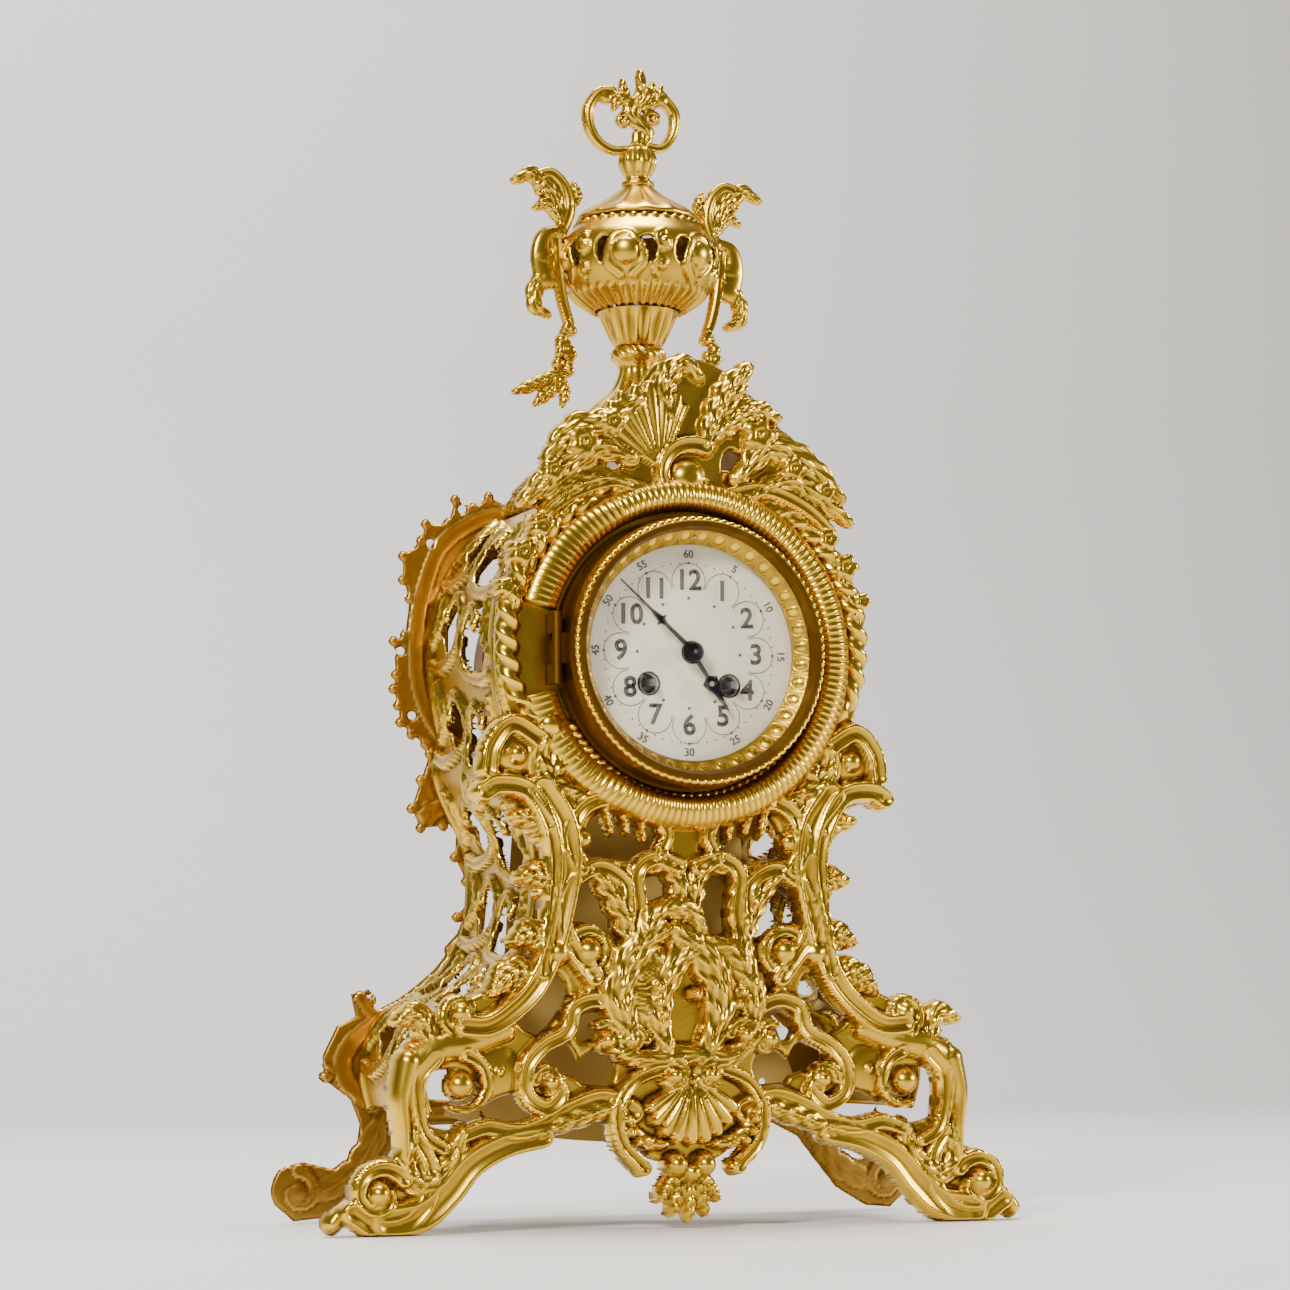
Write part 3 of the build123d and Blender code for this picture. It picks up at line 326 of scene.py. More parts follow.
    def cavity(self):
        """1 on crests, 0 in hollows, for painted shade: the rise less its own blur, over a few millimetres.
        """
        blur = self.rise.copy()
        for _ in range(max(2, int(2.0 / self.step))):
            blur = (blur + np.roll(blur, 1, 0) + np.roll(blur, -1, 0)
                    + np.roll(blur, 1, 1) + np.roll(blur, -1, 1)) / 5
        return np.clip(0.55 + 0.75 * (self.rise - blur), 0, 1)


# %% [markdown]
# ## From maps to a mesh
# The mesh takes whole arrays: the kept cells index a front sheet and a back sheet, and the two sheets share
# the points on the edge. The height near the edge follows a quarter circle, which rounds it.
# %% Skin a relief
def face_outward(mesh):
    """Turns every face of the closed skins of a mesh outward."""
    work = bmesh.new()
    work.from_mesh(mesh)
    bmesh.ops.recalc_face_normals(work, faces=work.faces)
    work.to_mesh(mesh)
    work.free()


def add_mesh(name, points, faces, finish, cavity=None, body="case"):
    """Make an object from arrays in millimetres, smooth shaded, riding on a body."""
    mesh = bpy.data.meshes.new(name)
    mesh.from_pydata((points * MM).tolist(), [], faces.tolist())
    mesh.validate()
    mesh.polygons.foreach_set("use_smooth", np.ones(len(mesh.polygons), bool))
    level = mesh.attributes.new("cavity", "FLOAT", "POINT")
    values = np.full(len(mesh.vertices), 0.7) if cavity is None else cavity
    level.data.foreach_set("value", np.asarray(values, np.float32)[:len(mesh.vertices)])
    face_outward(mesh)
    piece = bpy.data.objects.new(name, mesh)
    bpy.context.scene.collection.objects.link(piece)
    piece.data.materials.append(finish)
    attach(piece, body)
    print(name, len(mesh.vertices), "points", len(mesh.polygons), "faces")
    return piece


def skin(relief, front, back, edge=1.6):
    """Points, faces and cavity of the closed skin of a relief; front and back place (u, v, rise)."""
    gap, cavity = relief.gap, relief.cavity()
    metal_here = gap < 0.35 * relief.step
    cell = metal_here[:-1, :-1] & metal_here[1:, :-1] & metal_here[:-1, 1:] & metal_here[1:, 1:]
    padded = np.pad(cell, 1)
    used = padded[:-1, :-1] | padded[1:, :-1] | padded[:-1, 1:] | padded[1:, 1:]
    whole = padded[:-1, :-1] & padded[1:, :-1] & padded[:-1, 1:] & padded[1:, 1:]
    rim = used & ~whole
    grad_v, grad_u = np.gradient(gap, relief.step)
    steep = np.maximum(grad_u ** 2 + grad_v ** 2, 0.3)
    slide = np.clip(gap / steep, -0.7 * relief.step, 0.7 * relief.step)
    u = np.where(rim, relief.u - slide * grad_u, relief.u)
    v = np.where(rim, relief.v - slide * grad_v, relief.v)
    depth = np.clip(np.where(rim, 0, -gap) / edge, 0, 1)
    bulge = np.sqrt(1 - (1 - depth) ** 2)[used][:, None]
    face, rear = front(u[used], v[used], relief.rise[used]), back(u[used], v[used], relief.rise[used])
    middle = (face + rear) / 2
    face, rear = middle + (face - middle) * bulge, middle + (rear - middle) * bulge
    count = int(used.sum())
    index = np.full(used.shape, -1)
    index[used] = np.arange(count)
    rear_index = index.copy()
    inner = used & ~rim
    rear_index[inner] = count + np.arange(int(inner.sum()))
    points = np.vstack([face, rear[inner[used]]])

    def quads(numbers, flip):
        """Four corner numbers for every covered cell."""
        corners = [numbers[:-1, :-1][cell], numbers[:-1, 1:][cell], numbers[1:, 1:][cell],
                   numbers[1:, :-1][cell]]
        return np.column_stack(corners[::-1] if flip else corners)

    faces = np.vstack([quads(index, False), quads(rear_index, True)])
    # Cavity values for painted shade; the back sheet takes 0.6 of them, so it is painted darker.
    tint = np.concatenate([cavity[used], cavity[inner] * 0.6])
    return points, faces, tint


def flat_front(base):
    """Places a relief on a plane that faces the front: y is the base less the rise."""
    return lambda u, v, rise: np.column_stack([u, base - rise, v])


def flat_back(base):
    """Places the back of a relief on a plane."""
    return lambda u, v, rise: np.column_stack([u, np.full(u.shape, base), v])


# %% [markdown]
# ## The front casting
# The front is one casting: two legs on scrolled feet, an apron with a shell and a pendant, a strap of
# C-scrolls over the body, and a round head behind the dial. Most of it is symmetrical, so each motif is a
# small function of a side, +1 or -1, and only the cartouche in the middle leans one way.
# %% Outline of the front
FRONT_Y = -44.0
LEG = [(0, 25), (14, 27), (24, 34), (38, 43), (52, 45), (60, 36), (70, 33), (82, 29), (93, 21), (102, 11),
       (110, 4), (122, 1), (134, 2), (140, 8), (137, 16), (136, 24), (126, 30), (118, 32), (117, 40),
       (121, 50), (119, 60), (113, 66), (108, 74), (104, 80), (98, 88), (88, 92), (74, 99), (64, 112),
       (60, 130), (60, 148), (63, 163), (76, 168), (84, 176), (77, 187), (72, 194)]
HEAD_R = math.hypot(72, 194 - DIAL_Z)


def front_outline():
    """Right half from the spline, the head as an arc about the dial, and the left half mirrored."""
    right = through(LEG, 150)
    first = math.atan2(LEG[-1][1] - DIAL_Z, LEG[-1][0])
    arc = np.linspace(first, math.pi / 2, 40)[1:]
    head = np.column_stack([HEAD_R * np.cos(arc), DIAL_Z + HEAD_R * np.sin(arc)])
    half = np.vstack([right, head])
    return np.vstack([half, half[::-1][1:-1] * (-1, 1)])


def closed(points, count=40):
    """Closed smooth outline through points."""
    return through(list(points) + [points[0]], count)[:-1]


def circle(x, z, rx, rz=None, count=36):
    """Ellipse of half widths rx and rz as a closed outline."""
    turn = np.linspace(0, 2 * math.pi, count, endpoint=False)
    return np.column_stack([x + rx * np.cos(turn), z + (rz or rx) * np.sin(turn)])


def sided(points, side):
    """Points carried to the right (+1) or the left (-1)."""
    return np.asarray(points, float) * (side, 1)


# %% Openings of the front
OPENINGS = [
    [(85, 42), (98, 40), (110, 44), (113, 54), (106, 62), (92, 62), (86, 54)],
    [(62, 44), (78, 42), (84, 48), (74, 53), (64, 50)],
    [(52, 62), (60, 66), (55, 73), (48, 71), (44, 60)],
    [(32, 56), (44, 58), (44, 66), (36, 70), (30, 64)],
    [(36, 76), (44, 74), (46, 82), (38, 85), (32, 82)],
    [(62, 76), (70, 82), (62, 92), (54, 100), (50, 92), (56, 82)],
    [(26, 96), (34, 92), (36, 99), (28, 104)],
    [(28, 112), (40, 120), (48, 122), (48, 134), (38, 138), (28, 132)],
    [(5, 114), (18, 118), (20, 134), (12, 139), (5, 134)],
    [(6, 145), (30, 144), (42, 149), (38, 162), (24, 165), (10, 160)],
]

front = Relief(-150, 150, 0, 304, 0.85)
front.ground(front_outline(), 5.0)
for opening in OPENINGS:
    for side in (1, -1):
        front.pierce(sided(closed(opening), side))
front.pierce(circle(0, DIAL_Z, 48.4, count=90))


# %% Legs and feet
def drawn(relief, side):
    """Drawing function for one side of a relief."""
    def draw(points, *args, **kw):
        """Stroke a smooth line through points, mirrored by side."""
        relief.stroke(sided(through(points), side), *args, **kw)
    return draw


def leg(side):
    """Scrolled foot, drop boss on the shin, C-scroll with its ball, and the horn leaf over the knee."""
    draw = drawn(front, side)
    draw([(61, 37), (76, 34), (90, 27), (100, 16), (110, 8), (124, 5)], 13, 6, moulded, (0.8, 1.2), base=5)
    draw([(112, 36), (107, 26), (108, 14), (116, 5), (128, 3), (138, 9)], 11, 7, moulded, (0.6, 1), base=4)
    draw([(94, 40), (99, 27), (109, 20), (117, 27), (113, 40)], 13, 6, leaf, base=5)
    draw([(116, 66), (119, 52), (118, 38), (118, 26)], 15, 9, roll, (0.8, 0.35), base=3)
    draw([(106, 68), (112, 60), (112, 48), (109, 38), (102, 33)], 9, 7, moulded, (1, 0.6), base=5)
    draw([(92, 72), (104, 73), (111, 84), (120, 82)], 13, 6, leaf, base=3)
    draw([(104, 68), (113, 72), (118, 70)], 7, 5, leaf, base=3)
    draw([(76, 78), (92, 73), (104, 71), (114, 64)], 14, 6, roll, (0.6, 1), base=5)
    front.ball(side * 95, 57, 6.2, 8, 4)
    front.stroke(sided(spiral((95, 57), 12, 100, 0.55, 9), side), 6, 7, moulded, (1, 0.5), base=5)
    turn = 150 if side > 0 else 30
    front.volute((side * 128, 16), 11.5, turn, -0.9 * side, 8, 7, 5, eye=5)
    front.ball(side * (144.4), 5.2, 4.9, 5, 0)
    front.stroke(sided(through([(136, 12), (142, 9), (145, 5)], 12), side), 6, 4, roll, base=3)


def knee_and_band(side):
    """The long S-band of the body, from the knee scroll to the volute under the head."""
    draw = drawn(front, side)
    draw([(94, 80), (84, 80), (74, 86), (65, 95), (59, 107), (55, 120), (52, 134), (51, 148), (54, 161),
          (62, 172)], 14, 8, moulded, (0.7, 1), base=5)
    draw([(62, 100), (60, 114), (58, 128), (57, 144), (60, 160), (68, 172), (80, 174), (86, 171)], 9, 7,
         moulded, (0.6, 1.1), base=6)
    for tip, root in (((82, 94), (64, 98)), ((73, 113), (58, 108)), ((70, 138), (54, 128)),
                      ((73, 162), (53, 148))):
        middle = ((tip[0] + root[0]) / 2 - 1, (tip[1] + root[1]) / 2 + 5)
        draw([root, middle, tip], 15, 7, leaf, lobes=3, base=4)
    front.volute((side * 95, 85), 8.5, 250 if side > 0 else 290, 0.9 * side, 5, 6, 5, eye=4.4)
    front.ball(side * 72, 186, 8.5, 4, 5)
    front.ball(side * 72, 186, 4, 4, 8)
    front.ball(side * 85, 172, 5, 6, 5)
    draw([(62, 192), (74, 198), (82, 190), (84, 180)], 9, 7, moulded, base=5)
    draw([(56, 198), (63, 187), (58, 176), (44, 170)], 13, 7, leaf, lobes=4, base=5)


def straps(side):
    """Strapwork between the legs: an interlaced band with scroll eyes, a pierced roundel and rivets."""
    draw = drawn(front, side)
    draw([(58, 58), (54, 53), (60, 48), (68, 53), (68, 64), (61, 72), (53, 76), (50, 80), (48, 87),
          (39, 90), (30, 86), (28, 78)], 7.5, 6, moulded, base=5)
    front.volute((side * 58, 58), 6.5, 0 if side > 0 else 180, 0.8 * side, 4, 6, 5, eye=3.8)
    front.volute((side * 34.7, 74), 7, 60 if side > 0 else 120, 0.8 * side, 4.2, 6.5, 6, eye=3.9)
    front.ball(side * 79, 62, 9.5, 2.2, 5)
    front.ball(side * 79, 62, 2, 2.4, 7)
    front.ball(side * 40.8, 93.5, 3, 3, 6)
    draw([(46, 104), (41, 97), (41, 90), (46, 86)], 7, 3, moulded, base=5)
    front.ball(side * 55, 108.2, 5.2, 7, 6)
    front.ball(side * 42, 109, 5.6, 7, 6)
    front.stroke(sided(circle(42, 109, 8.6)[3:30], side), 4.6, 6, moulded, base=5)
    draw([(24, 46), (36, 51), (48, 48), (60, 42), (72, 39), (84, 41), (94, 38)], 11, 6, moulded, (1, 0.6),
         base=5)
    draw([(26, 50), (40, 46), (52, 42), (62, 38)], 10, 6, leaf, lobes=4, base=6)


def uprights(side):
    """Acanthus C-scrolls of the middle storey and the arch over it."""
    draw = drawn(front, side)
    draw([(40, 99), (52, 116), (50, 134), (38, 142), (27, 136), (26, 126)], 9, 7, moulded, (1, 0.7), base=5)
    draw([(23, 100), (25, 120), (33, 134), (42, 142)], 14, 7, leaf, lobes=5, base=5)
    draw([(24, 106), (21, 124), (22, 140), (14, 146), (4, 143)], 9, 7, moulded, (1, 0.8), base=5)
    draw([(8, 106), (2, 122), (4, 138), (14, 146)], 13, 7, leaf, lobes=5, base=5)
    draw([(4, 143), (22, 142), (40, 144), (50, 140)], 5, 4, moulded, base=5)
    draw([(48, 166), (56, 176), (52, 190), (60, 200)], 12, 6, leaf, lobes=4, base=5)
    draw([(46, 142), (50, 154), (44, 166), (30, 170), (16, 166), (9, 156), (12, 148)], 9, 7, moulded,
         (1, 0.7), base=5)
    for x, z in ((20, 158), (27, 161), (34, 160)):
        draw([(x + 2, 170), (x, 164), (x - 2, z - 6)], 5, 5, leaf, base=5)
    front.ball(side * 44, 153, 4.2, 6, 5)
    front.volute((side * 28, 131), 4.5, 90, 0.7 * side, 3, 5, 5, eye=2.4)


for side in (1, -1):
    leg(side)
    knee_and_band(side)
    straps(side)
    uprights(side)
print("front metal share", round(float((front.gap < 0).mean()), 3))


# %% Cartouche, shell and pendant
def cartouche():
    """Asymmetrical rocaille in the middle: feathers, a comb of ruffles and strings of berries."""
    feathers = [([(-24, 74), (-30, 92), (-22, 110), (-10, 118)], 17),
                ([(26, 76), (27, 94), (20, 108), (8, 114)], 13), ([(8, 70), (14, 88), (8, 106), (-6, 118)],
                                                                  18),
                ([(-10, 70), (-14, 86), (-8, 102), (4, 112)], 15), ([(-24, 110), (-14, 124), (-2, 126),
                                                                     (6, 118)], 11),
                ([(30, 76), (16, 67), (0, 68), (-16, 66), (-32, 70)], 12)]
    for points, width in feathers:
        front.stroke(through(points), width, 6, leaf, lobes=3, base=8.5)
    front.stroke(through([(-18, 84), (-20, 96), (-14, 106)]), 12, 5, ribbed, base=8)
    for x, z, radius in ((-12, 84, 2), (-14, 89, 2.2), (-14, 95, 2.4), (20, 88, 2), (22, 93, 2.2),
                         (2, 92, 2.4)):
        front.ball(x, z, radius, 4, 12)
    front.volute((23, 76), 6.5, 180, -0.8, 4, 6, 9, eye=3.6)
    front.volute((-25, 74), 6, 0, 0.8, 4, 6, 8, eye=3.2)


def shell_and_pendant():
    """Scallop on the apron between two scrolls, with a palmette hanging under it."""
    front.fan(0, 60, 27, -90, 62, 9, 7, 8)
    for side in (1, -1):
        front.volute((side * 8, 60), 6, 90, 0.7 * side, 4, 6, 10, eye=3.6)
        front.stroke(sided(through([(12, 63), (24, 58), (31, 47), (29, 34), (20, 24)]), side), 7, 7,
                     moulded, (0.7, 1), base=7)
        front.stroke(sided(through([(30, 50), (26, 40), (18, 34), (10, 33)]), side), 7, 5, leaf, base=8)
        front.ball(side * 20, 24, 4, 6, 6)
        front.ball(side * 6, 25, 5, 7, 8)
        for x, z in ((27, 43), (26, 38), (23, 34)):
            front.ball(side * x, z, 1.8, 3, 13)
    for lean in (-56, -28, 0, 28, 56):
        a = math.radians(lean)
        tip = (15 * math.sin(a), 21 - 17.5 * math.cos(a))
        middle = (9 * math.sin(a) * 1.2, 21 - 9 * math.cos(a))
        front.stroke(through([(0, 24), middle, tip], 24), 8.5, 6, leaf, base=6)
    front.ball(0, 22, 4, 6, 9)


def under_bezel():
    """Ruffled leaves that run round under the dial, and the lattice panels beside them."""
    for side in (1, -1):
        for a0, a1, r in ((-88, -68, 63), (-74, -50, 64), (-56, -34, 65)):
            turn = np.radians(np.linspace(a0, a1, 5))
            line = np.column_stack([r * np.cos(turn), DIAL_Z + (r - 2) * np.sin(turn)])
            front.stroke(sided(through(line, 30), side), 11, 5, leaf, lobes=5, base=6)
        turn = np.radians(np.linspace(-90, -32, 40))
        line = np.column_stack([58 * np.cos(turn), DIAL_Z + 58 * np.sin(turn)])
        front.stroke(sided(line, side), 6, 5, ribbed, base=6)
        for a0, a1, r in ((8, 34, 76), (28, 54, 77), (46, 68, 77)):
            turn = np.radians(np.linspace(a0, a1, 5))
            line = np.column_stack([r * np.cos(turn), DIAL_Z + r * np.sin(turn)])
            front.stroke(sided(through(line, 30), side), 11, 6, leaf, lobes=5, base=5)
        for x, z, radius in ((70, 266, 7), (62, 277, 6), (77, 252, 5)):
            front.flower(side * x, z, radius, 6, 6)
        for k in range(4):
            x0, z0 = 46 + 3.2 * k, 158 + 5 * k
            front.stroke(sided(through([(x0, z0), (x0 + 5, z0 + 7)], 8), side), 1.2, 1.4, roll, base=5)
            front.stroke(sided(through([(x0 + 5, z0), (x0, z0 + 7)], 8), side), 1.2, 1.4, roll, base=5)


cartouche()
shell_and_pendant()
under_bezel()
points, faces, tint = skin(front, flat_front(FRONT_Y), flat_back(FRONT_Y + 1.5))
points[:, 2] = np.clip(points[:, 2], 0.2, None)
front_casting = add_mesh("front_casting_ornament", points, faces, gilt, tint)
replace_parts(front_casting, "front_casting")

# %% [markdown]
# ## The side castings
# Each side is a thin pierced casting that follows the outline of the front from the foot up to the shoulder.
# The relief is drawn on a sheet of depth and length and then carried along that outline, standing out along
# its normal.
# %% Side castings
SIDE = [(101, 46), (104, 62), (98, 80), (84, 89), (70, 100), (61, 116), (58, 135), (60, 155), (68, 170),
        (73, 184), (71, 198), (74, 215), (75, 235), (71, 258), (60, 278), (46, 291)]
side_line = through(SIDE, 400)
side_run = np.concatenate([[0], np.cumsum(np.hypot(*np.diff(side_line, axis=0).T))])
side_normal = np.gradient(side_line, axis=0)
side_normal = np.column_stack([side_normal[:, 1], -side_normal[:, 0]])
side_normal /= np.hypot(*side_normal.T)[:, None]
LENGTH = side_run[-1]


def carried(out, side):
    """Places (u = depth y, v = length along the outline): point = outline + normal times height."""
    def place(u, v, rise):
        """Points of the sheet at their place in space."""
        height = out + rise
        x = np.interp(v, side_run, side_line[:, 0]) + height * np.interp(v, side_run, side_normal[:, 0])
        z = np.interp(v, side_run, side_line[:, 1]) + height * np.interp(v, side_run, side_normal[:, 1])
        return np.column_stack([side * x, u, z])
    return place


def side_relief():
    """Bands along both edges, C-scrolls that cross between them, and leaves that climb the corner."""
    plate = Relief(-42, 46, 0, LENGTH, 1.1)
    plate.ground(np.array([(-41.5, 0.5), (45.5, 0.5), (45.5, LENGTH - 0.5), (-41.5, LENGTH - 0.5)]), 0.6)
    for v in (24, 58, 92, 128, 172, 212, 246):
        plate.pierce(circle(-14, v, 12, 13))
        plate.pierce(circle(17, v + 8, 12, 13))
    for u in (-38.5, 42.5):
        plate.stroke(np.array([(u, 2), (u, LENGTH / 2), (u, LENGTH - 2)], float), 5.5, 2.4, moulded,
                     base=0.6)
    for v in (24, 58, 92, 128, 172, 212, 246):
        plate.stroke(through([(-34, v - 16), (-22, v - 17), (-4, v - 12), (0, v + 2), (-8, v + 13),
                              (-18, v + 8)]), 6, 3.4, moulded, (1, 0.7), base=0.8)
        plate.ball(-17, v + 5, 3.4, 3.6, 1)
        plate.stroke(through([(-36, v - 8), (-28, v + 2), (-31, v + 16)]), 9, 3.2, leaf, lobes=4, base=0.8)
        plate.stroke(through([(38, v - 6), (26, v - 8), (8, v - 3), (3, v + 10), (12, v + 20),
                              (22, v + 15)]), 6, 3.2, moulded, (1, 0.7), base=0.8)
        plate.ball(20, v + 12, 3.2, 3.4, 1)
        plate.stroke(through([(38, v + 2), (31, v + 12), (34, v + 26)]), 9, 3, leaf, lobes=4, base=0.8)
    plate.flower(2, 150, 10, 3.2, 1)
    return plate


side_plate = side_relief()
for side, name in ((1, "side_casting_right"), (-1, "side_casting_left")):
    points, faces, tint = skin(side_plate, carried(1.0, side), carried(-0.9, side), 1.4)
    if side > 0:
        faces = faces[:, ::-1]
    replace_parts(add_mesh(name + "_ornament", points, faces, gilt, tint), name)


# %% [markdown]
# ## The rear frame
# The frame behind is thin and its edge is cut like a comb, with small round holes. It takes a darker copy
# of the gilt colours. It is drawn like the front, with little relief.
# %% Rear frame
REAR_Y = 50.0
COMB = [(0, 290), (18, 291), (34, 296), (50, 303), (57, 298), (65, 301), (68, 291), (78, 290), (80, 283),
        (88, 276), (88, 266), (85, 258), (87, 243), (92, 240), (91, 226), (92, 220), (90, 213), (89, 206),
        (84, 201), (78, 197), (76, 193), (80, 182), (84, 170), (80, 162), (70, 163), (64, 165), (65, 150),
        (60, 140), (58, 133), (64, 125), (60, 122), (70, 112), (68, 107), (80, 98), (85, 92), (90, 88),
        (100, 85), (104, 94), (110, 93), (108, 84), (116, 80), (122, 68), (121, 58), (110, 50), (106, 40),
        (108, 26), (118, 22), (130, 25)]
COMB_INNER = [(142, 8), (134, 1), (122, 2), (108, 10), (98, 22), (90, 32), (76, 39), (40, 40), (0, 40)]


def rear_relief():
    """Comb-edged frame: outline, central opening, spines with scrolls, holes along the comb."""
    frame_relief = Relief(-150, 150, 0, 306, 1.0)
    half = np.vstack([np.array(COMB, float), through([(130, 25), (140, 22), (143.5, 14), (142, 8)], 10)[1:],
                      np.array(COMB_INNER[1:], float)])
    frame_relief.ground(np.vstack([half, half[::-1][1:-1] * (-1, 1)]), 0.4)
    window = [(0, 284), (30, 282), (48, 276), (60, 262), (68, 245), (68, 226), (62, 208), (52, 196),
              (60, 184), (66, 172), (56, 160), (50, 140), (52, 120), (62, 104), (76, 86), (88, 76),
              (84, 62), (78, 50), (40, 47), (0, 47)]
    line = np.array(window, float)
    frame_relief.pierce(np.vstack([line, line[::-1][1:-1] * (-1, 1)]))
    for x, z in ((62, 297), (76, 282), (89, 236), (84, 209), (58, 147), (56, 131), (62, 111), (70, 97),
                 (77, 90)):
        for side in (1, -1):
            frame_relief.pierce(circle(side * x, z, 1.8, count=14))
    for side in (1, -1):
        for x, z in COMB[2:30]:
            frame_relief.ball(side * x, z, 2.3, 1.2, 0.6)
        draw = drawn(frame_relief, side)
        draw([(0, 288), (24, 288), (45, 295), (60, 290), (72, 280), (79, 262), (82, 245), (82, 228),
              (78, 212), (70, 200), (62, 195)], 7, 2.6, moulded, base=0.8)
        draw([(72, 188), (65, 182), (70, 172), (78, 167)], 7, 2.4, moulded, base=0.8)
        draw([(58, 160), (55, 140), (58, 122), (68, 104), (84, 90), (98, 82), (112, 70), (112, 58),
              (100, 48)], 8, 2.4, moulded, base=0.8)
        draw([(96, 44), (102, 30), (112, 18), (128, 10)], 13, 2.6, leaf, lobes=5, base=0.8)
        draw([(0, 43.5), (40, 43.5), (80, 44), (98, 40)], 5, 2, moulded, base=0.8)
        draw([(92, 82), (101, 85), (106, 92)], 5, 2.2, moulded, base=0.8)
        for x, z, radius in ((72, 188, 5), (78, 167, 5), (103, 90, 4), (121, 60, 4), (132, 12, 9)):
            frame_relief.volute((side * x, z), radius, 90, 0.8 * side, radius * 0.55, 2.4, 0.8)
        for x, z in ((69, 262), (74, 243), (68, 228), (70, 217)):
            draw([(x + 8, z - 5), (x + 3, z - 1), (x - 3, z + 3)], 7, 2, leaf, base=0.6)
    return frame_relief


rear = rear_relief()
points, faces, tint = skin(rear, lambda u, v, rise: np.column_stack([u, REAR_Y - 3.2 - 0.3 * rise, v]),
                           lambda u, v, rise: np.column_stack([u, REAR_Y - 3 + 0.95 * rise, v]), 1.4)
rear_piece = add_mesh("rear_frame_ornament", points, faces, dark_gilt, tint)
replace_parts(rear_piece, "rear_frame")

# %% [markdown]
# ## Shoulders, crest and the border round the dial
# Over the body sits a domed cap with a net pattern. The crest in front of it is a shell and scrolls with
# flowers, and swags of flowers hang down the shoulders.
# %% Crest
crest = Relief(-82, 82, 280, 352, 0.7)
CREST = [(-70, 284), (-64, 298), (-52, 315), (-38, 323), (-24, 333), (-13, 346), (0, 349), (14, 346),
         (24, 338), (36, 328), (50, 314), (62, 300), (70, 288), (52, 284), (0, 289), (-52, 284)]
crest.ground(closed(CREST, 160), 2.0)
crest.pierce(circle(20, 304, 4, 8))
crest.pierce(circle(-31, 301, 3, 4))
crest.volute((0, 299), 15, 60, 0.8, 8, 5, 2, eye=7)
crest.ball(0, 297, 7.5, 4, 2.5)
crest.fan(-12, 302, 36, 108, 44, 8, 4, 2)
for points, width in (([(8, 312), (14, 326), (22, 340), (27, 346)], 16),
                      ([(12, 318), (28, 328), (40, 326)], 13), ([(22, 300), (36, 314), (52, 308),
                                                                 (68, 294)], 15),
                      ([(26, 292), (44, 300), (58, 294), (72, 284)], 12),
                      ([(-20, 330), (-34, 320), (-48, 316), (-60, 304)], 15),
                      ([(-24, 306), (-38, 310), (-54, 300), (-70, 286)], 15),
                      ([(-18, 292), (-34, 297), (-50, 292), (-62, 282)], 12),
                      ([(-6, 322), (-10, 336), (-2, 346), (6, 340)], 11)):
    crest.stroke(through(points), width, 5, leaf, lobes=5, base=2)
for points in ([(14, 292), (32, 296), (50, 290), (64, 279)], [(-14, 292), (-32, 296), (-50, 290),
                                                              (-64, 279)]):
    crest.stroke(through(points), 6, 5, moulded, base=2)
for x, z, radius in ((-45, 311, 8), (31, 318, 8), (46, 305, 6), (-33, 320, 6), (-58, 299, 6), (60, 296, 5)):
    crest.flower(x, z, radius, 4.5, 3)
crest.gap = np.where(np.hypot(crest.u, crest.v - DIAL_Z) < 60, np.maximum(crest.gap, 3), crest.gap)
points, faces, tint = skin(crest, flat_front(-50.6), flat_back(-50.2), 1.3)
points[:, 1] = np.maximum(points[:, 1], -58.5)
crest_piece = add_mesh("crest_spray", points, faces, gilt, tint)
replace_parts(crest_piece, "crest_ornament")


# %% Turned sheets and ropes
def revolve(profile, waves, count=144, centre=(0, 0, 0)):
    """Skin of revolution, radius r (1 + wave); profile rows are (r, h), waves(angle, share) scales r."""
    r, h = np.asarray(profile, float).T
    angle = np.linspace(0, 2 * math.pi, count, endpoint=False)
    share = np.linspace(0, 1, len(r))
    a, s = np.meshgrid(angle, share)
    wave = waves(a, s)
    radius = r[:, None] * (1 + wave)
    x, y, z = radius * np.cos(a), radius * np.sin(a), np.broadcast_to(h[:, None], a.shape)
    grid = np.stack([x, y, z], -1)
    # Cavity value for painted shade: lower where the radius sinks, higher where it swells.
    return grid + np.array(centre, float), np.clip(0.6 + 6 * wave, 0, 1)


def grid_faces(rows, cols, wrap_cols=True, wrap_rows=False):
    """Quads that join the points of a grid, closed round the columns, the rows or both."""
    index = np.arange(rows * cols).reshape(rows, cols)
    if wrap_cols:
        index = np.column_stack([index, index[:, 0]])
    if wrap_rows:
        index = np.vstack([index, index[:1]])
    return np.column_stack([index[:-1, :-1].ravel(), index[:-1, 1:].ravel(), index[1:, 1:].ravel(),
                            index[1:, :-1].ravel()])


def capped(grid, tint, wrap_rows=False, flip=False):
    """Points, faces and cavity of a revolved skin; open ends are closed by a fan to the middle."""
    rows, cols = grid.shape[:2]
    points, faces = grid.reshape(-1, 3), grid_faces(rows, cols, True, wrap_rows)
    values = tint.reshape(-1)
    if not wrap_rows:
        ends = np.array([grid[0].mean(0), grid[-1].mean(0)])
        ring = np.arange(cols)
        low = np.column_stack([np.roll(ring, -1), ring, np.full(cols, len(points)),
                               np.full(cols, len(points))])
        top = (rows - 1) * cols + ring
        high = np.column_stack([top, np.roll(top, -1), np.full(cols, len(points) + 1),
                                np.full(cols, len(points) + 1)])
        points, values = np.vstack([points, ends]), np.concatenate([values, [0.5, 0.5]])
        faces = [f.tolist() for f in faces] + [f[:3].tolist() for f in low] + [f[:3].tolist() for f in high]
    else:
        faces = faces.tolist()
    if flip:
        faces = [f[::-1] for f in faces]
    return points, faces, values


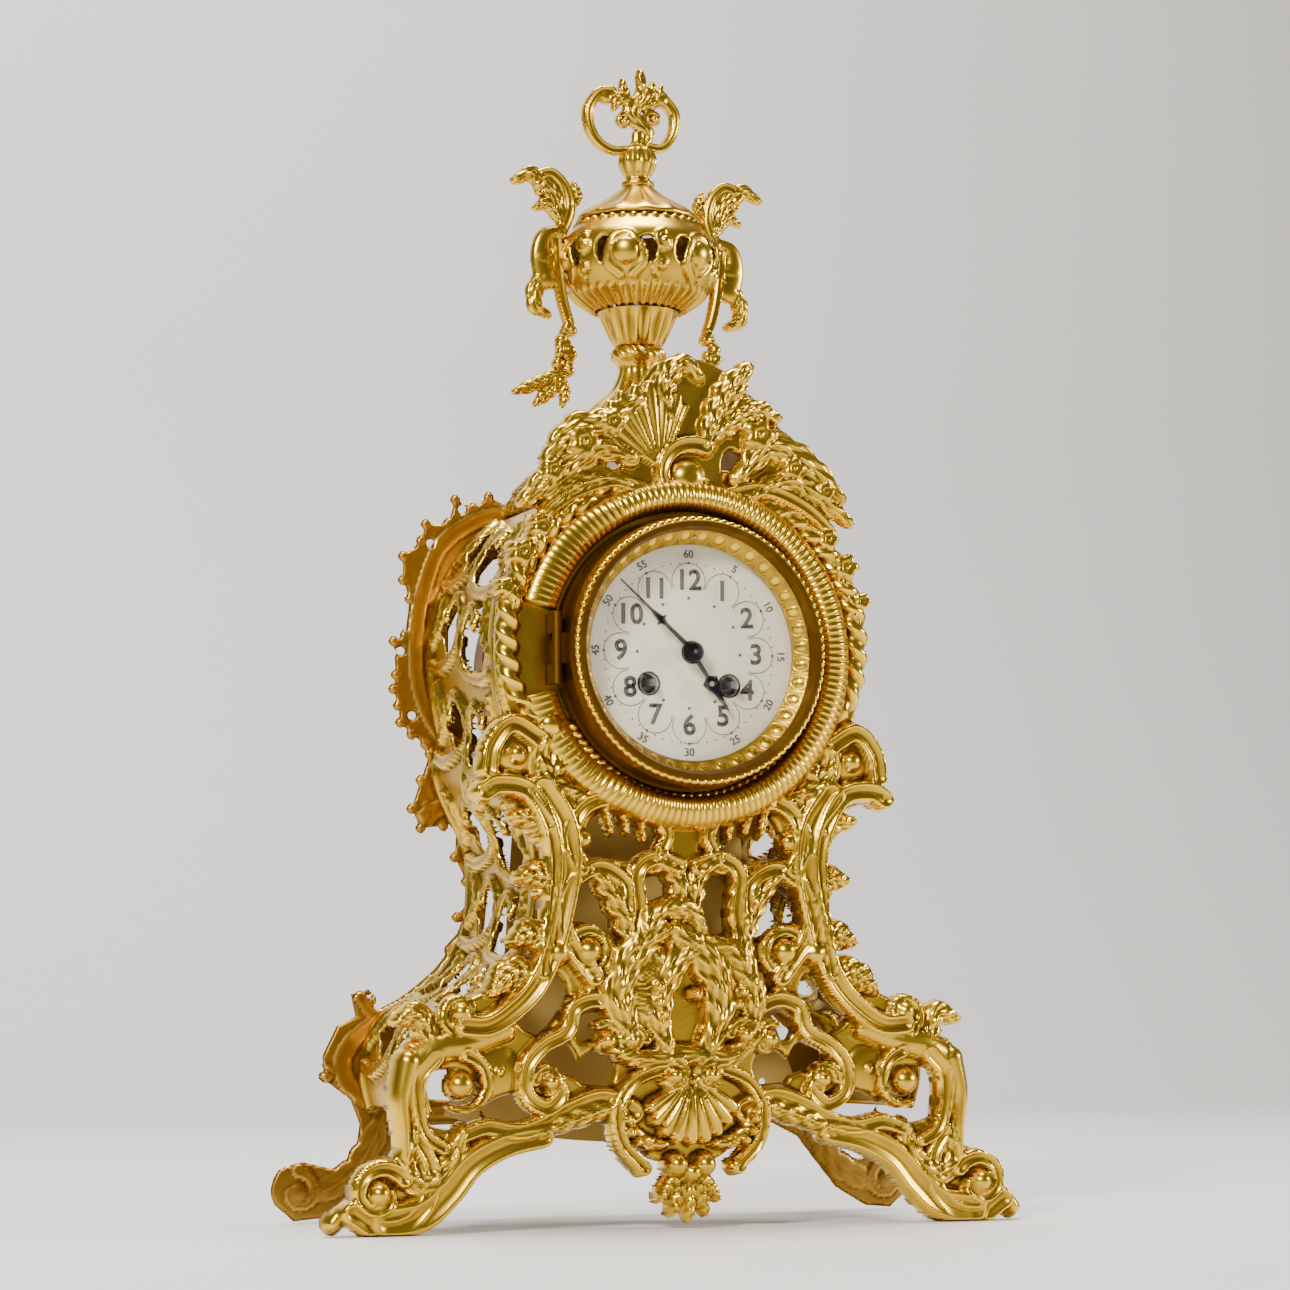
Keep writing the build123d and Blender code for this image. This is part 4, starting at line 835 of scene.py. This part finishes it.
def gather(name, parts, finish, body="case", closed_skin=True):
    """One object out of several closed skins (points, faces, cavity)."""
    points, faces, values, count = [], [], [], 0
    for p, f, t in parts:
        points.append(p)
        values.append(t)
        faces += [[i + count for i in face] for face in f]
        count += len(p)
    mesh_points, mesh_values = np.vstack(points), np.concatenate(values)
    mesh = bpy.data.meshes.new(name)
    mesh.from_pydata((mesh_points * MM).tolist(), [], faces)
    mesh.polygons.foreach_set("use_smooth", np.ones(len(mesh.polygons), bool))
    mesh.attributes.new("cavity", "FLOAT", "POINT").data.foreach_set("value",
                                                                     mesh_values.astype(np.float32))
    if closed_skin:
        face_outward(mesh)
    piece = bpy.data.objects.new(name, mesh)
    bpy.context.scene.collection.objects.link(piece)
    mesh.materials.append(finish)
    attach(piece, body)
    print(name, len(mesh.vertices), "points", len(mesh.polygons), "faces")
    return piece


def tube(path, radius, sides=14, form=None):
    """Closed tube along a path; radius is one number per point, form(angle, share) scales it."""
    path = np.asarray(path, float)
    radius = np.broadcast_to(radius, len(path)).astype(float)
    along = np.gradient(path, axis=0)
    along /= np.linalg.norm(along, axis=1)[:, None]
    guide = np.array([0, 1, 0]) if abs(along[:, 1]).max() < 0.9 else np.array([1, 0, 0])
    first = np.cross(along, guide)
    first /= np.maximum(np.linalg.norm(first, axis=1), 1e-9)[:, None]
    second = np.cross(along, first)
    angle = np.linspace(0, 2 * math.pi, sides, endpoint=False)
    a, s = np.meshgrid(angle, np.linspace(0, 1, len(path)))
    wave = form(a, s) if form else 0 * a
    r = radius[:, None] * (1 + wave)
    grid = (path[:, None] + first[:, None] * (r * np.cos(a))[..., None]
            + second[:, None] * (r * np.sin(a))[..., None])
    # Cavity value for painted shade: lower in the grooves of the form, higher on its ridges.
    return capped(grid, np.clip(0.75 + 2 * wave, 0, 1), flip=False)


def sphere(x, y, z, radius, rows=10, cols=16):
    """Small round boss."""
    lat = np.linspace(-math.pi / 2 + 0.15, math.pi / 2 - 0.15, rows)
    grid, tint = revolve(np.column_stack([radius * np.cos(lat), radius * np.sin(lat)]), lambda a, s: 0 * a,
                         count=cols, centre=(x, y, z))
    # A boss takes 0.2 more of the cavity value, so less painted shade.
    return capped(grid, tint + 0.2)


def spaced(points, count):
    """Smooth 3-D curve through points, resampled at even spacing."""
    line = through(points, count * 3)
    run = np.concatenate([[0], np.cumsum(np.linalg.norm(np.diff(line, axis=0), axis=1))])
    even = np.linspace(0, run[-1], count)
    return np.column_stack([np.interp(even, run, line[:, k]) for k in range(line.shape[1])])


# %% Surround, rope border and swags
def surround():
    """Bulging border round the dial with fine radial flutes, flatter by the hinge so the bezel can swing."""
    turn = np.linspace(0, math.pi, 26)
    gap_half = math.asin(16.5 / 61)
    angle = np.linspace(math.pi + gap_half, 3 * math.pi - gap_half, 900)
    a, t = np.meshgrid(angle, turn)
    from_hinge = (a - math.pi) % (2 * math.pi)
    from_hinge = np.minimum(from_hinge, 2 * math.pi - from_hinge)
    swell = 4.4 + 5.2 * np.clip((from_hinge - 0.75) / 0.35, 0, 1) ** 2
    flute = 1 + 0.035 * np.cos(150 * a) * np.sin(t)
    lean = 1.5 * np.sin(t) * swell / 9.6
    r, y = 64.4 - lean + 7 * np.cos(t), -50.4 - swell * np.sin(t) ** 0.8 * flute
    back = np.array([[57.4, -50.2], [71.4, -50.2]])
    r = np.vstack([r, np.broadcast_to(back[:, :1], (2, 900))])
    y = np.vstack([y, np.broadcast_to(back[:, 1:], (2, 900))])
    a = np.vstack([a, a[:2]])
    grid = np.stack([r * np.cos(a), y, DIAL_Z + r * np.sin(a)], -1)
    rows, cols = grid.shape[:2]
    faces = grid_faces(rows, cols, False, True).tolist()
    ends = [[k * cols for k in range(rows)], [k * cols + cols - 1 for k in range(rows)][::-1]]
    # Cavity value for painted shade: lower in the troughs of the flutes; the back rows take 0.4.
    tint = np.vstack([0.62 + 9 * (flute - 1), 0.4 + 0 * a[:2]])
    return grid.reshape(-1, 3), faces + ends, np.clip(tint, 0, 1).reshape(-1)


def twisted(points, radius, twists, y):
    """Rope along a line in the (x, z) plane: a tube whose radius waves with angle and length."""
    line = spaced([(x, y, z) for x, z in points], 160)
    run = np.sin(math.pi * np.linspace(0.06, 0.94, 160)) ** 0.35 * radius
    return tube(line, run, 16, lambda a, s: 0.22 * np.cos(2 * a + 2 * math.pi * twists * s))


surround_piece = gather("dial_surround_ribbed", [surround()], gilt)
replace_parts(surround_piece, "dial_surround")
ROPE = [(30, 286), (44, 287), (58, 276), (69, 261), (74.5, 244), (75, 226), (71, 210), (60, 198)]
shoulder = []
for side in (1, -1):
    shoulder.append(twisted(sided(ROPE, side), 4.6, 14, -50))
    shoulder.append(sphere(side * 29, -51, 286, 5.6))
    shoulder.append(sphere(side * 58, -51, 198, 5.6))
print("rope border pieces", len(shoulder))


# %% Domed cap
def cap():
    """Net-patterned dome: an upper half of an ellipse swept from front to back with sunk lozenges."""
    u, t = np.meshgrid(np.linspace(-41, 45, 90), np.linspace(0, math.pi, 130))
    net = np.minimum(np.abs(np.sin(u * 0.42 + t * 14)), np.abs(np.sin(u * 0.42 - t * 14)))
    lift = 1 + 0.035 * np.clip(1 - 3 * net, 0, 1) - 0.03
    outer = np.stack([44.5 * lift * np.cos(t), u, 294.2 + 27.5 * lift * np.sin(t)], -1)
    inner = np.stack([41 * np.cos(t), u, 294.2 + 24 * np.sin(t)], -1)[::-1]
    grid = np.vstack([outer, inner])
    rows, cols = grid.shape[:2]
    faces = grid_faces(rows, cols, False, True).tolist()
    ends = [[r * cols for r in range(rows)], [r * cols + cols - 1 for r in range(rows)][::-1]]
    # Cavity value for painted shade: lower in the sunk lozenges, higher on the raised net; the inside takes
    # 0.3.
    tint = np.vstack([np.clip(0.9 - 0.9 * net, 0.1, 1), 0.3 + 0 * net])
    return grid.reshape(-1, 3), faces + ends, tint.reshape(-1)


cap_piece = gather("top_cap_net", [cap()], gilt)
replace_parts(cap_piece, "top_dome")

# %% [markdown]
# ## The urn
# The urn was turned and then chased: gadroons on the bowl, flutes on the cup, a twisted collar. Each piece is
# a profile spun round the axis whose radius swells and sinks with the angle.
# %% Urn bodies
PROFILES = {
    "urn_pedestal": ([(24.8, 324.3), (24, 329), (20, 336), (12, 343), (8.5, 350), (8.5, 354), (11, 357),
                      (11, 360), (9, 361.9)],
                     lambda a, s: 0.06 * np.sin(math.pi * s) * np.abs(np.cos(6 * a))
                     + 0.05 * np.clip(s * 8 - 6.5, 0, 1) * np.cos(18 * a + 60 * s)),
    "urn_cup": ([(9.8, 362.1), (11, 364), (13.5, 370), (16.8, 376.8)],
                lambda a, s: 0.05 * np.cos(16 * a) * np.sin(math.pi * s)),
    "urn_lid": ([(25.8, 415.1), (25.9, 416.5), (23, 419), (16, 423), (11.5, 426), (7, 429.9)],
                lambda a, s: 0.05 * np.cos(14 * a) * np.sin(math.pi * s)),
}


def fine_profile(profile, count=60):
    """A profile of few points drawn as a smooth line of many."""
    return spaced(profile, count)


for name, (profile, waves) in PROFILES.items():
    grid, tint = revolve(fine_profile(profile), waves)
    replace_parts(gather(name + "_turned", [capped(grid, tint)], gilt), name)

# %% Pierced bowl
BOWL = spaced([(18, 377.2), (21, 379), (27.5, 384), (32, 391), (33.4, 399), (32, 406), (27, 412),
               (24.6, 414.8)], 120)
bowl_run = np.concatenate([[0], np.cumsum(np.hypot(*np.diff(BOWL, axis=0).T))])
bowl_normal = np.gradient(BOWL, axis=0)
bowl_normal = np.column_stack([bowl_normal[:, 1], -bowl_normal[:, 0]]) / np.hypot(*bowl_normal.T)[:, None]
ROUND = 2 * math.pi * 33


def on_bowl(out):
    """Places (u round the bowl, v along its profile), standing out along the profile's normal."""
    def place(u, v, rise):
        """Points of the sheet at their place in space."""
        height = out + rise
        r = np.interp(v, bowl_run, BOWL[:, 0]) + height * np.interp(v, bowl_run, bowl_normal[:, 0])
        z = np.interp(v, bowl_run, BOWL[:, 1]) + height * np.interp(v, bowl_run, bowl_normal[:, 1])
        turn = math.pi / 2 + u / 33
        return np.column_stack([r * np.cos(turn), r * np.sin(turn), z])
    return place


bowl = Relief(0, ROUND, 0, bowl_run[-1], 0.8)
bowl.ground(np.array([(0.4, 0.2), (ROUND - 0.4, 0.2), (ROUND - 0.4, bowl_run[-1] - 0.2),
                      (0.4, bowl_run[-1] - 0.2)]), 0.2)
for k in range(6):
    u0 = ROUND * (k + 0.5) / 6
    for step, tall in ((-9, 5.5), (9, 5.5)):
        bowl.pierce(circle(u0 + step, 27, 3.6, tall))
    bowl.ball(u0, 26, 5.6, 2.6, 0.2)
    bowl.stroke(through([(u0 - 3, 16), (u0 - 8, 22), (u0 - 5, 32), (u0 + 1, 34), (u0 + 5, 30)]), 4, 1.8,
                moulded, (1, 0.6))
    bowl.stroke(through([(u0 + 3, 16), (u0 + 8, 22), (u0 + 7, 29)]), 4, 1.8, moulded, (1, 0.6))
    bowl.volute((u0 + ROUND / 12 - 1, 30), 4.6, 90, 0.8, 2.6, 1.8, 0.2, eye=2)
    bowl.volute((u0 + ROUND / 12 - 2, 20), 4, 250, -0.8, 2.4, 1.8, 0.2, eye=1.8)
for k in range(36):
    u0 = ROUND * (k + 0.5) / 36
    bowl.stroke(np.array([(u0, 1.2), (u0, 6), (u0, 11.5)]), 4.4, 1.2, roll, (0.6, 1), base=0.2)
    bowl.ball(u0, bowl_run[-1] - 2.2, 1.7, 1, 0.2)
points, faces, tint = skin(bowl, on_bowl(0), on_bowl(-1.6), 1.0)
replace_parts(add_mesh("urn_bowl_pierced", points, faces, gilt, tint), "urn_bowl")


# %% Finial and handles
def two_sided(plate, name, thick=0.6, share=0.62):
    """A small casting chased on both faces: the rise stands out to the front and to the back."""
    points, faces, tint = skin(plate, lambda u, v, rise: np.column_stack([u, -thick - share * rise, v]),
                               lambda u, v, rise: np.column_stack([u, thick + share * rise, v]), 1.0)
    return add_mesh(name, points, faces, gilt, tint)


bud = [(6.6, 430.1), (7, 432), (5, 434), (6.5, 437), (8, 441), (6.5, 446), (3, 449), (2.4, 454)]
grid, tint = revolve(spaced(bud, 40), lambda a, s: 0.07 * np.cos(10 * a) * np.sin(math.pi * s), count=80)
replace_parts(gather("urn_finial_bud", [capped(grid, tint)], gilt), "urn_finial")
flame = Relief(-28, 24, 440, 481.5, 0.45)
flame.stroke(through([(0, 446), (4, 454), (-3, 462), (2, 470), (1, 480)]), 8.5, 5, leaf, lobes=4)
flame.stroke(through([(-1, 447), (-12, 445.5), (-20, 451), (-22.5, 461), (-18, 469), (-12, 470.5)]), 5.6, 4,
             moulded, (0.7, 1))
flame.stroke(through([(1, 449), (10, 448), (15.5, 454), (16.5, 463), (11, 470)]), 5.4, 4, moulded, (0.7, 1))
flame.ball(-14.5, 468, 3.2, 4)
flame.ball(10.5, 468.5, 3, 4)
flame.volute((-6, 458), 5, 0, 0.8, 3, 3.6, 0, eye=2)
flame.volute((7, 460), 4.2, 180, -0.8, 2.8, 3.6, 0, eye=1.8)
for tip in ((-7, 476), (7, 476), (-11, 463), (11, 475)):
    flame.stroke(through([(0, 464), (tip[0] * 0.7, 468), tip]), 5.5, 3.4, leaf)
two_sided(flame, "urn_finial_scrolls")


def handle(side):
    """Cast handle: a curled leaf on top, a drop bulb, a lower leaf, a string of berries and three tips."""
    plate = Relief(*sorted((side * 23, side * 60)), 333, 437, 0.45)
    for points, width, form, taper in (([(35, 408), (31, 418), (33, 428), (39, 433.5), (45, 431),
                                         (44, 425)], 6.5, moulded, (1, 0.6)),
                                       ([(34, 414), (38, 425), (47, 432), (55, 429)], 9.5, leaf, (1, 1)),
                                       ([(34, 412), (40, 420), (46, 418)], 7, leaf, (1, 1)),
                                       ([(30, 420), (27, 424), (29, 430)], 5, leaf, (1, 1)),
                                       ([(36, 409), (42, 406), (43.5, 398), (41, 389)], 11, roll, (0.5, 1)),
                                       ([(38, 393), (45, 386), (46, 377), (40, 373)], 8.5, leaf, (1, 1)),
                                       ([(37, 406), (36, 392), (34, 380), (31, 370)], 6, moulded, (1, 0.8)),
                                       ([(31, 371), (34, 362), (31, 354), (35, 346)], 4.5, ribbed, (1, 1)),
                                       ([(34, 350), (43, 345), (55, 340)], 7, leaf, (1, 1)),
                                       ([(34, 348), (40, 341), (46, 335.5)], 7, leaf, (1, 1)),
                                       ([(35, 348), (33, 341), (34, 335.5)], 6, leaf, (1, 1))):
        plate.stroke(sided(through(points), side), width, 4, form, taper, lobes=4 if form is leaf else 0)
    for x, z, radius in ((42.5, 397, 5), (30, 367, 2.7), (34.5, 363, 2.7), (30, 357, 2.7), (36, 353, 2.7),
                         (31, 350, 2.5), (37, 346, 2.5), (44.5, 428, 2.6), (35, 408, 3)):
        plate.ball(side * x, z, radius, 4.6)
    plate.flower(side * 33, 359, 5, 4, 0.5)
    return plate


for side, name in ((-1, "urn_handle_left"), (1, "urn_handle_right")):
    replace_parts(two_sided(handle(side), name + "_cast"), name)
gather("shoulder_ropes", shoulder, gilt)

# %% [markdown]
# ## Bezel, slip ring and dial
# The bezel has a beaded edge and the slip ring inside it is stamped with egg and dart. The dial is enamel on
# copper, its numerals and dots fired into it in black, so they are drawn a hair's breadth proud of it.
# %% Bezel beads and slip ring
def bead_ring():
    """Ring of beads: a thin torus whose tube swells once for each bead."""
    a, t = np.meshgrid(np.linspace(0, 2 * math.pi, 1152, endpoint=False),
                       np.linspace(0, 2 * math.pi, 10, endpoint=False))
    tube_r = 1.35 * (0.62 + 0.38 * np.abs(np.cos(48 * a)))
    r, y = 52.3 + tube_r * np.cos(t), -68.2 + tube_r * np.sin(t)
    grid = np.stack([r * np.cos(a), y, DIAL_Z + r * np.sin(a)], -1)
    # Cavity value for painted shade: lower between the beads, higher on their swell.
    return grid.reshape(-1, 3), grid_faces(10, 1152, True, True).tolist(), np.clip(tube_r / 1.35, 0,
                                                                                   1).reshape(-1)


def egg_and_dart():
    """Conical ring, its slope raised by an oval egg in each of 40 places and a dart between them."""
    rows, cols = 18, 960
    a, s = np.meshgrid(np.linspace(0, 2 * math.pi, cols, endpoint=False), np.linspace(0, 1, rows))
    place = (a * 40 / (2 * math.pi)) % 1 - 0.5
    egg = np.sqrt(np.clip(1 - (place / 0.30) ** 2 - ((s - 0.5) / 0.36) ** 2, 0, 1))
    shell = 0.45 * np.exp(-(((np.hypot(place / 0.40, (s - 0.5) / 0.46) - 1) / 0.12) ** 2))
    dart = 0.5 * np.clip(1 - np.abs(np.abs(place) - 0.5) / 0.05, 0, 1) * np.sin(math.pi * s)
    lift = 0.75 * np.maximum(np.maximum(egg, shell), dart) * np.sin(math.pi * np.clip(s, 0, 1)) ** 0.3
    r = 49.3 - 5.9 * s - 0.66 * lift
    y = -63.4 + 5.2 * s - 0.75 * lift
    front_face = np.stack([r * np.cos(a), y, DIAL_Z + r * np.sin(a)], -1)
    ring = a[:2]
    back_r, back_y = np.array([[43.5], [49.3]]), np.array([[-57.7], [-57.7]])
    back_face = np.stack([back_r * np.cos(ring), back_y + 0 * ring, DIAL_Z + back_r * np.sin(ring)], -1)
    grid = np.vstack([front_face, back_face])
    # Cavity value for painted shade: lower in the ground between the eggs, higher where they stand up; the
    # back takes 0.3.
    tint = np.vstack([0.25 + 0.9 * lift, 0.3 + 0 * ring])
    return grid.reshape(-1, 3), grid_faces(rows + 2, cols, True, True).tolist(), np.clip(tint, 0,
                                                                                         1).reshape(-1)


gather("bezel_beads", [bead_ring()], gilt, "bezel")
slip = gather("slip_ring_stamped", [egg_and_dart()], gilt, "bezel")
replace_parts(slip, "slip_ring")


# %% Dial printing
def noisy(name, first, second, rough, scale=45.0, **values):
    """A non-metal whose colour drifts between two near tones with a soft noise."""
    made = bpy.data.materials.new(name)
    made.use_nodes = True
    nodes, link = made.node_tree.nodes, made.node_tree.links.new
    shader = nodes["Principled BSDF"]
    place, noise = nodes.new("ShaderNodeTexCoord"), nodes.new("ShaderNodeTexNoise")
    mix = nodes.new("ShaderNodeMix")
    mix.data_type = "RGBA"
    noise.inputs["Scale"].default_value = scale
    mix.inputs["A"].default_value, mix.inputs["B"].default_value = (*first, 1), (*second, 1)
    link(place.outputs["Object"], noise.inputs["Vector"])
    link(noise.outputs["Fac"], mix.inputs["Factor"])
    link(mix.outputs["Result"], shader.inputs["Base Color"])
    shader.inputs["Roughness"].default_value = rough
    for key, value in values.items():
        shader.inputs[key.replace("_", " ")].default_value = value
    return made


enamel = noisy("enamel", (0.93, 0.87, 0.68), (0.86, 0.79, 0.57), 0.16, Coat_Weight=0.4)
black_paint = noisy("black_enamel", (0.004, 0.004, 0.008), (0.012, 0.012, 0.018), 0.3, 80.0)
glass = noisy("bezel_glass", (0.96, 0.97, 0.97), (0.92, 0.94, 0.94), 0.02, 10.0, Transmission_Weight=1.0,
              Alpha=0.1)
PRINT_Y = -54.86


def disc(x, z, radius, count=12):
    """Flat round dot, as a fan of one face."""
    turn = np.linspace(0, 2 * math.pi, count, endpoint=False)
    points = np.column_stack([x + radius * np.cos(turn), np.full(count, PRINT_Y),
                              z + radius * np.sin(turn)])
    return points, [list(range(count))], np.full(count, 0.5)


def arc_line(x, z, radius, width, first, last, count=40):
    """Flat thin arc."""
    turn = np.radians(np.linspace(first, last, count))
    rings = [np.column_stack([x + r * np.cos(turn), np.full(count, PRINT_Y), z + r * np.sin(turn)])
             for r in (radius - width / 2, radius + width / 2)]
    faces = [[i, i + 1, count + i + 1, count + i] for i in range(count - 1)]
    return np.vstack(rings), faces, np.full(2 * count, 0.5)


def figure(text, x, z, size, lean=0.0):
    """A numeral as a flat mesh, centred at (x, z) and turned by an angle."""
    curve = bpy.data.curves.new("figure", "FONT")
    curve.body, curve.size, curve.align_x, curve.align_y = text, size, "CENTER", "CENTER"
    curve.resolution_u, curve.offset = 4, size * 0.028
    holder = bpy.data.objects.new("figure", curve)
    mesh = bpy.data.meshes.new_from_object(holder)
    count = len(mesh.vertices)
    flat = np.zeros(count * 3)
    mesh.vertices.foreach_get("co", flat)
    flat = flat.reshape(-1, 3)
    c, s = math.cos(lean), math.sin(lean)
    points = np.column_stack([x + c * flat[:, 0] - s * flat[:, 1], np.full(count, PRINT_Y),
                              z + s * flat[:, 0] + c * flat[:, 1]])
    faces = [list(face.vertices) for face in mesh.polygons]
    bpy.data.objects.remove(holder)
    bpy.data.curves.remove(curve)
    bpy.data.meshes.remove(mesh)
    return points, faces, np.full(count, 0.5)


printing = []
for minute in range(60):
    a = math.pi / 2 - 2 * math.pi * minute / 60
    printing.append(disc(36.4 * math.cos(a), DIAL_Z + 36.4 * math.sin(a),
                         0.62 if minute % 5 == 0 else 0.36))
for hour in range(1, 13):
    a = math.pi / 2 - 2 * math.pi * hour / 12
    x, z = math.cos(a), math.sin(a)
    lower = hour in (4, 5, 6, 7, 8)
    lean = a + math.pi / 2 if lower else a - math.pi / 2
    printing.append(figure(str(hour), 29.2 * x, DIAL_Z + 29.2 * z, 11.5))
    printing.append(figure(str(hour * 5), 39.9 * x, DIAL_Z + 39.9 * z, 4.4, lean))
    printing.append(arc_line(29.2 * x, DIAL_Z + 29.2 * z, 7.2, 0.35, math.degrees(a) - 118,
                             math.degrees(a) + 118))
    printing.append(disc(22.2 * x, DIAL_Z + 22.2 * z, 0.7))
for x in (-17.3, 17.3):
    printing.append(arc_line(x, DIAL_Z - 12.7, 4.5, 0.9, 0, 360, 48))
print("figures and dots", len(printing))
gather("dial_figures", printing, black_paint, closed_skin=False)
gather("slip_ring_screw", [sphere(0, -61.4, DIAL_Z + 46.2, 0.8)], steel, "bezel")

# %% [markdown]
# ## Finishes for the mechanical pieces
# The pieces that are shown as they come from the frame take the same materials through their slots.
# %% Finishes
STEEL = ("plate_screws", "hinge_pins", "suspension_spring", "going_winding_arbor", "strike_winding_arbor",
         "anchor", "hammer", "going_mainspring", "strike_mainspring", "pendulum_rod", "cannon_pinion",
         "urn_tie_rod")
MOVEMENT = ("front_plate", "back_plate", "plate_pillars", "suspension_cock", "centre_wheel", "hour_wheel",
            "minute_wheel", "going_second_wheel", "third_wheel", "escape_wheel", "going_barrel",
            "strike_barrel", "strike_second_wheel", "pin_wheel", "stop_wheel", "fly", "bell_stand",
            "case_straps", "drum_tube", "pendulum_bob")
finishes = {"bell": bell_metal, "dial": enamel, "bezel_glass": glass, "screen_plate": sheet_brass,
            "minute_hand": blued_steel, "hour_hand": blued_steel, "hand_nut": blued_steel}
finishes.update({name: steel for name in STEEL})
finishes.update({name: movement_brass for name in MOVEMENT})
for name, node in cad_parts.items():
    for place in node.material_slots:
        place.material = finishes.get(name, gilt)
print("finished", len(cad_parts), "nodes; not named:", sorted(set(finishes) - set(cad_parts)))

# %% [markdown]
# ## Floor, light and camera
# A pale sheet sweeps up behind the clock. One large soft lamp stands to the upper left and a weaker one to
# the right, and the room between them stays darker so that the gilding has something to reflect.
# %% Stage
def sweep():
    """Floor and wall in one sheet: flat, then a quarter circle, then upright."""
    turn = np.linspace(0, math.pi / 2, 16)
    line = np.vstack([[(-7.0, 0.0)], np.column_stack([1.6 + 0.8 * np.sin(turn), 0.8 - 0.8 * np.cos(turn)]),
                      [(2.4, 7.0)]])
    x = np.linspace(-7, 7, 3)
    points = np.stack([np.broadcast_to(x, (len(line), 3)), np.repeat(line[:, :1], 3, 1),
                       np.repeat(line[:, 1:], 3, 1)], -1)
    mesh = bpy.data.meshes.new("sweep")
    mesh.from_pydata(points.reshape(-1, 3).tolist(), [], grid_faces(len(line), 3, False).tolist())
    mesh.polygons.foreach_set("use_smooth", np.ones(len(mesh.polygons), bool))
    piece = bpy.data.objects.new("sweep", mesh)
    bpy.context.scene.collection.objects.link(piece)
    mesh.materials.append(noisy("pale_sheet", (0.66, 0.645, 0.63), (0.64, 0.625, 0.61), 0.6, 3.0))
    return piece


def lamp(name, where, size, power, aim=(0, 0, 0.24)):
    """Square area lamp that faces a point."""
    data = bpy.data.lights.new(name, "AREA")
    data.size, data.energy = size, power
    data.color = (1.0, 0.97, 0.93)
    piece = bpy.data.objects.new(name, data)
    bpy.context.scene.collection.objects.link(piece)
    piece.location = where
    away = Vector(where) - Vector(aim)
    piece.rotation_euler = away.to_track_quat("Z", "Y").to_euler()
    return piece


sweep()
lamp("key", (-1.3, -1.3, 1.3), 0.4, 60)
lamp("fill", (1.8, -0.8, 0.7), 0.35, 34)
lamp("top", (0.1, 0.1, 1.9), 0.7, 30)
lamp("wall", (0, 0.5, 2.6), 1.6, 105, (0, 2.2, 0.8))
world = bpy.data.worlds.new("room")
bpy.context.scene.world = world
world.use_nodes = True
world.node_tree.nodes["Background"].inputs["Color"].default_value = (0.42, 0.41, 0.40, 1)
world.node_tree.nodes["Background"].inputs["Strength"].default_value = 0.4

# %% Camera
ahead = Vector((0.36127, 0.92647, 0.10553)).normalized()
right = ahead.cross(Vector((0, 0, 1))).normalized()
upward = right.cross(ahead)
TILT = -0.00426
across = math.cos(TILT) * right + math.sin(TILT) * upward
over = -math.sin(TILT) * right + math.cos(TILT) * upward
lens = bpy.data.cameras.new("camera")
lens.lens, lens.sensor_width = 99.07, 36
camera = bpy.data.objects.new("camera", lens)
bpy.context.scene.collection.objects.link(camera)
camera.matrix_world = Matrix([(across.x, over.x, -ahead.x, -0.53038),
                                 (across.y, over.y, -ahead.y, -1.36658),
                                 (across.z, over.z, -ahead.z, 0.08125), (0, 0, 0, 1)])
bpy.context.scene.camera = camera
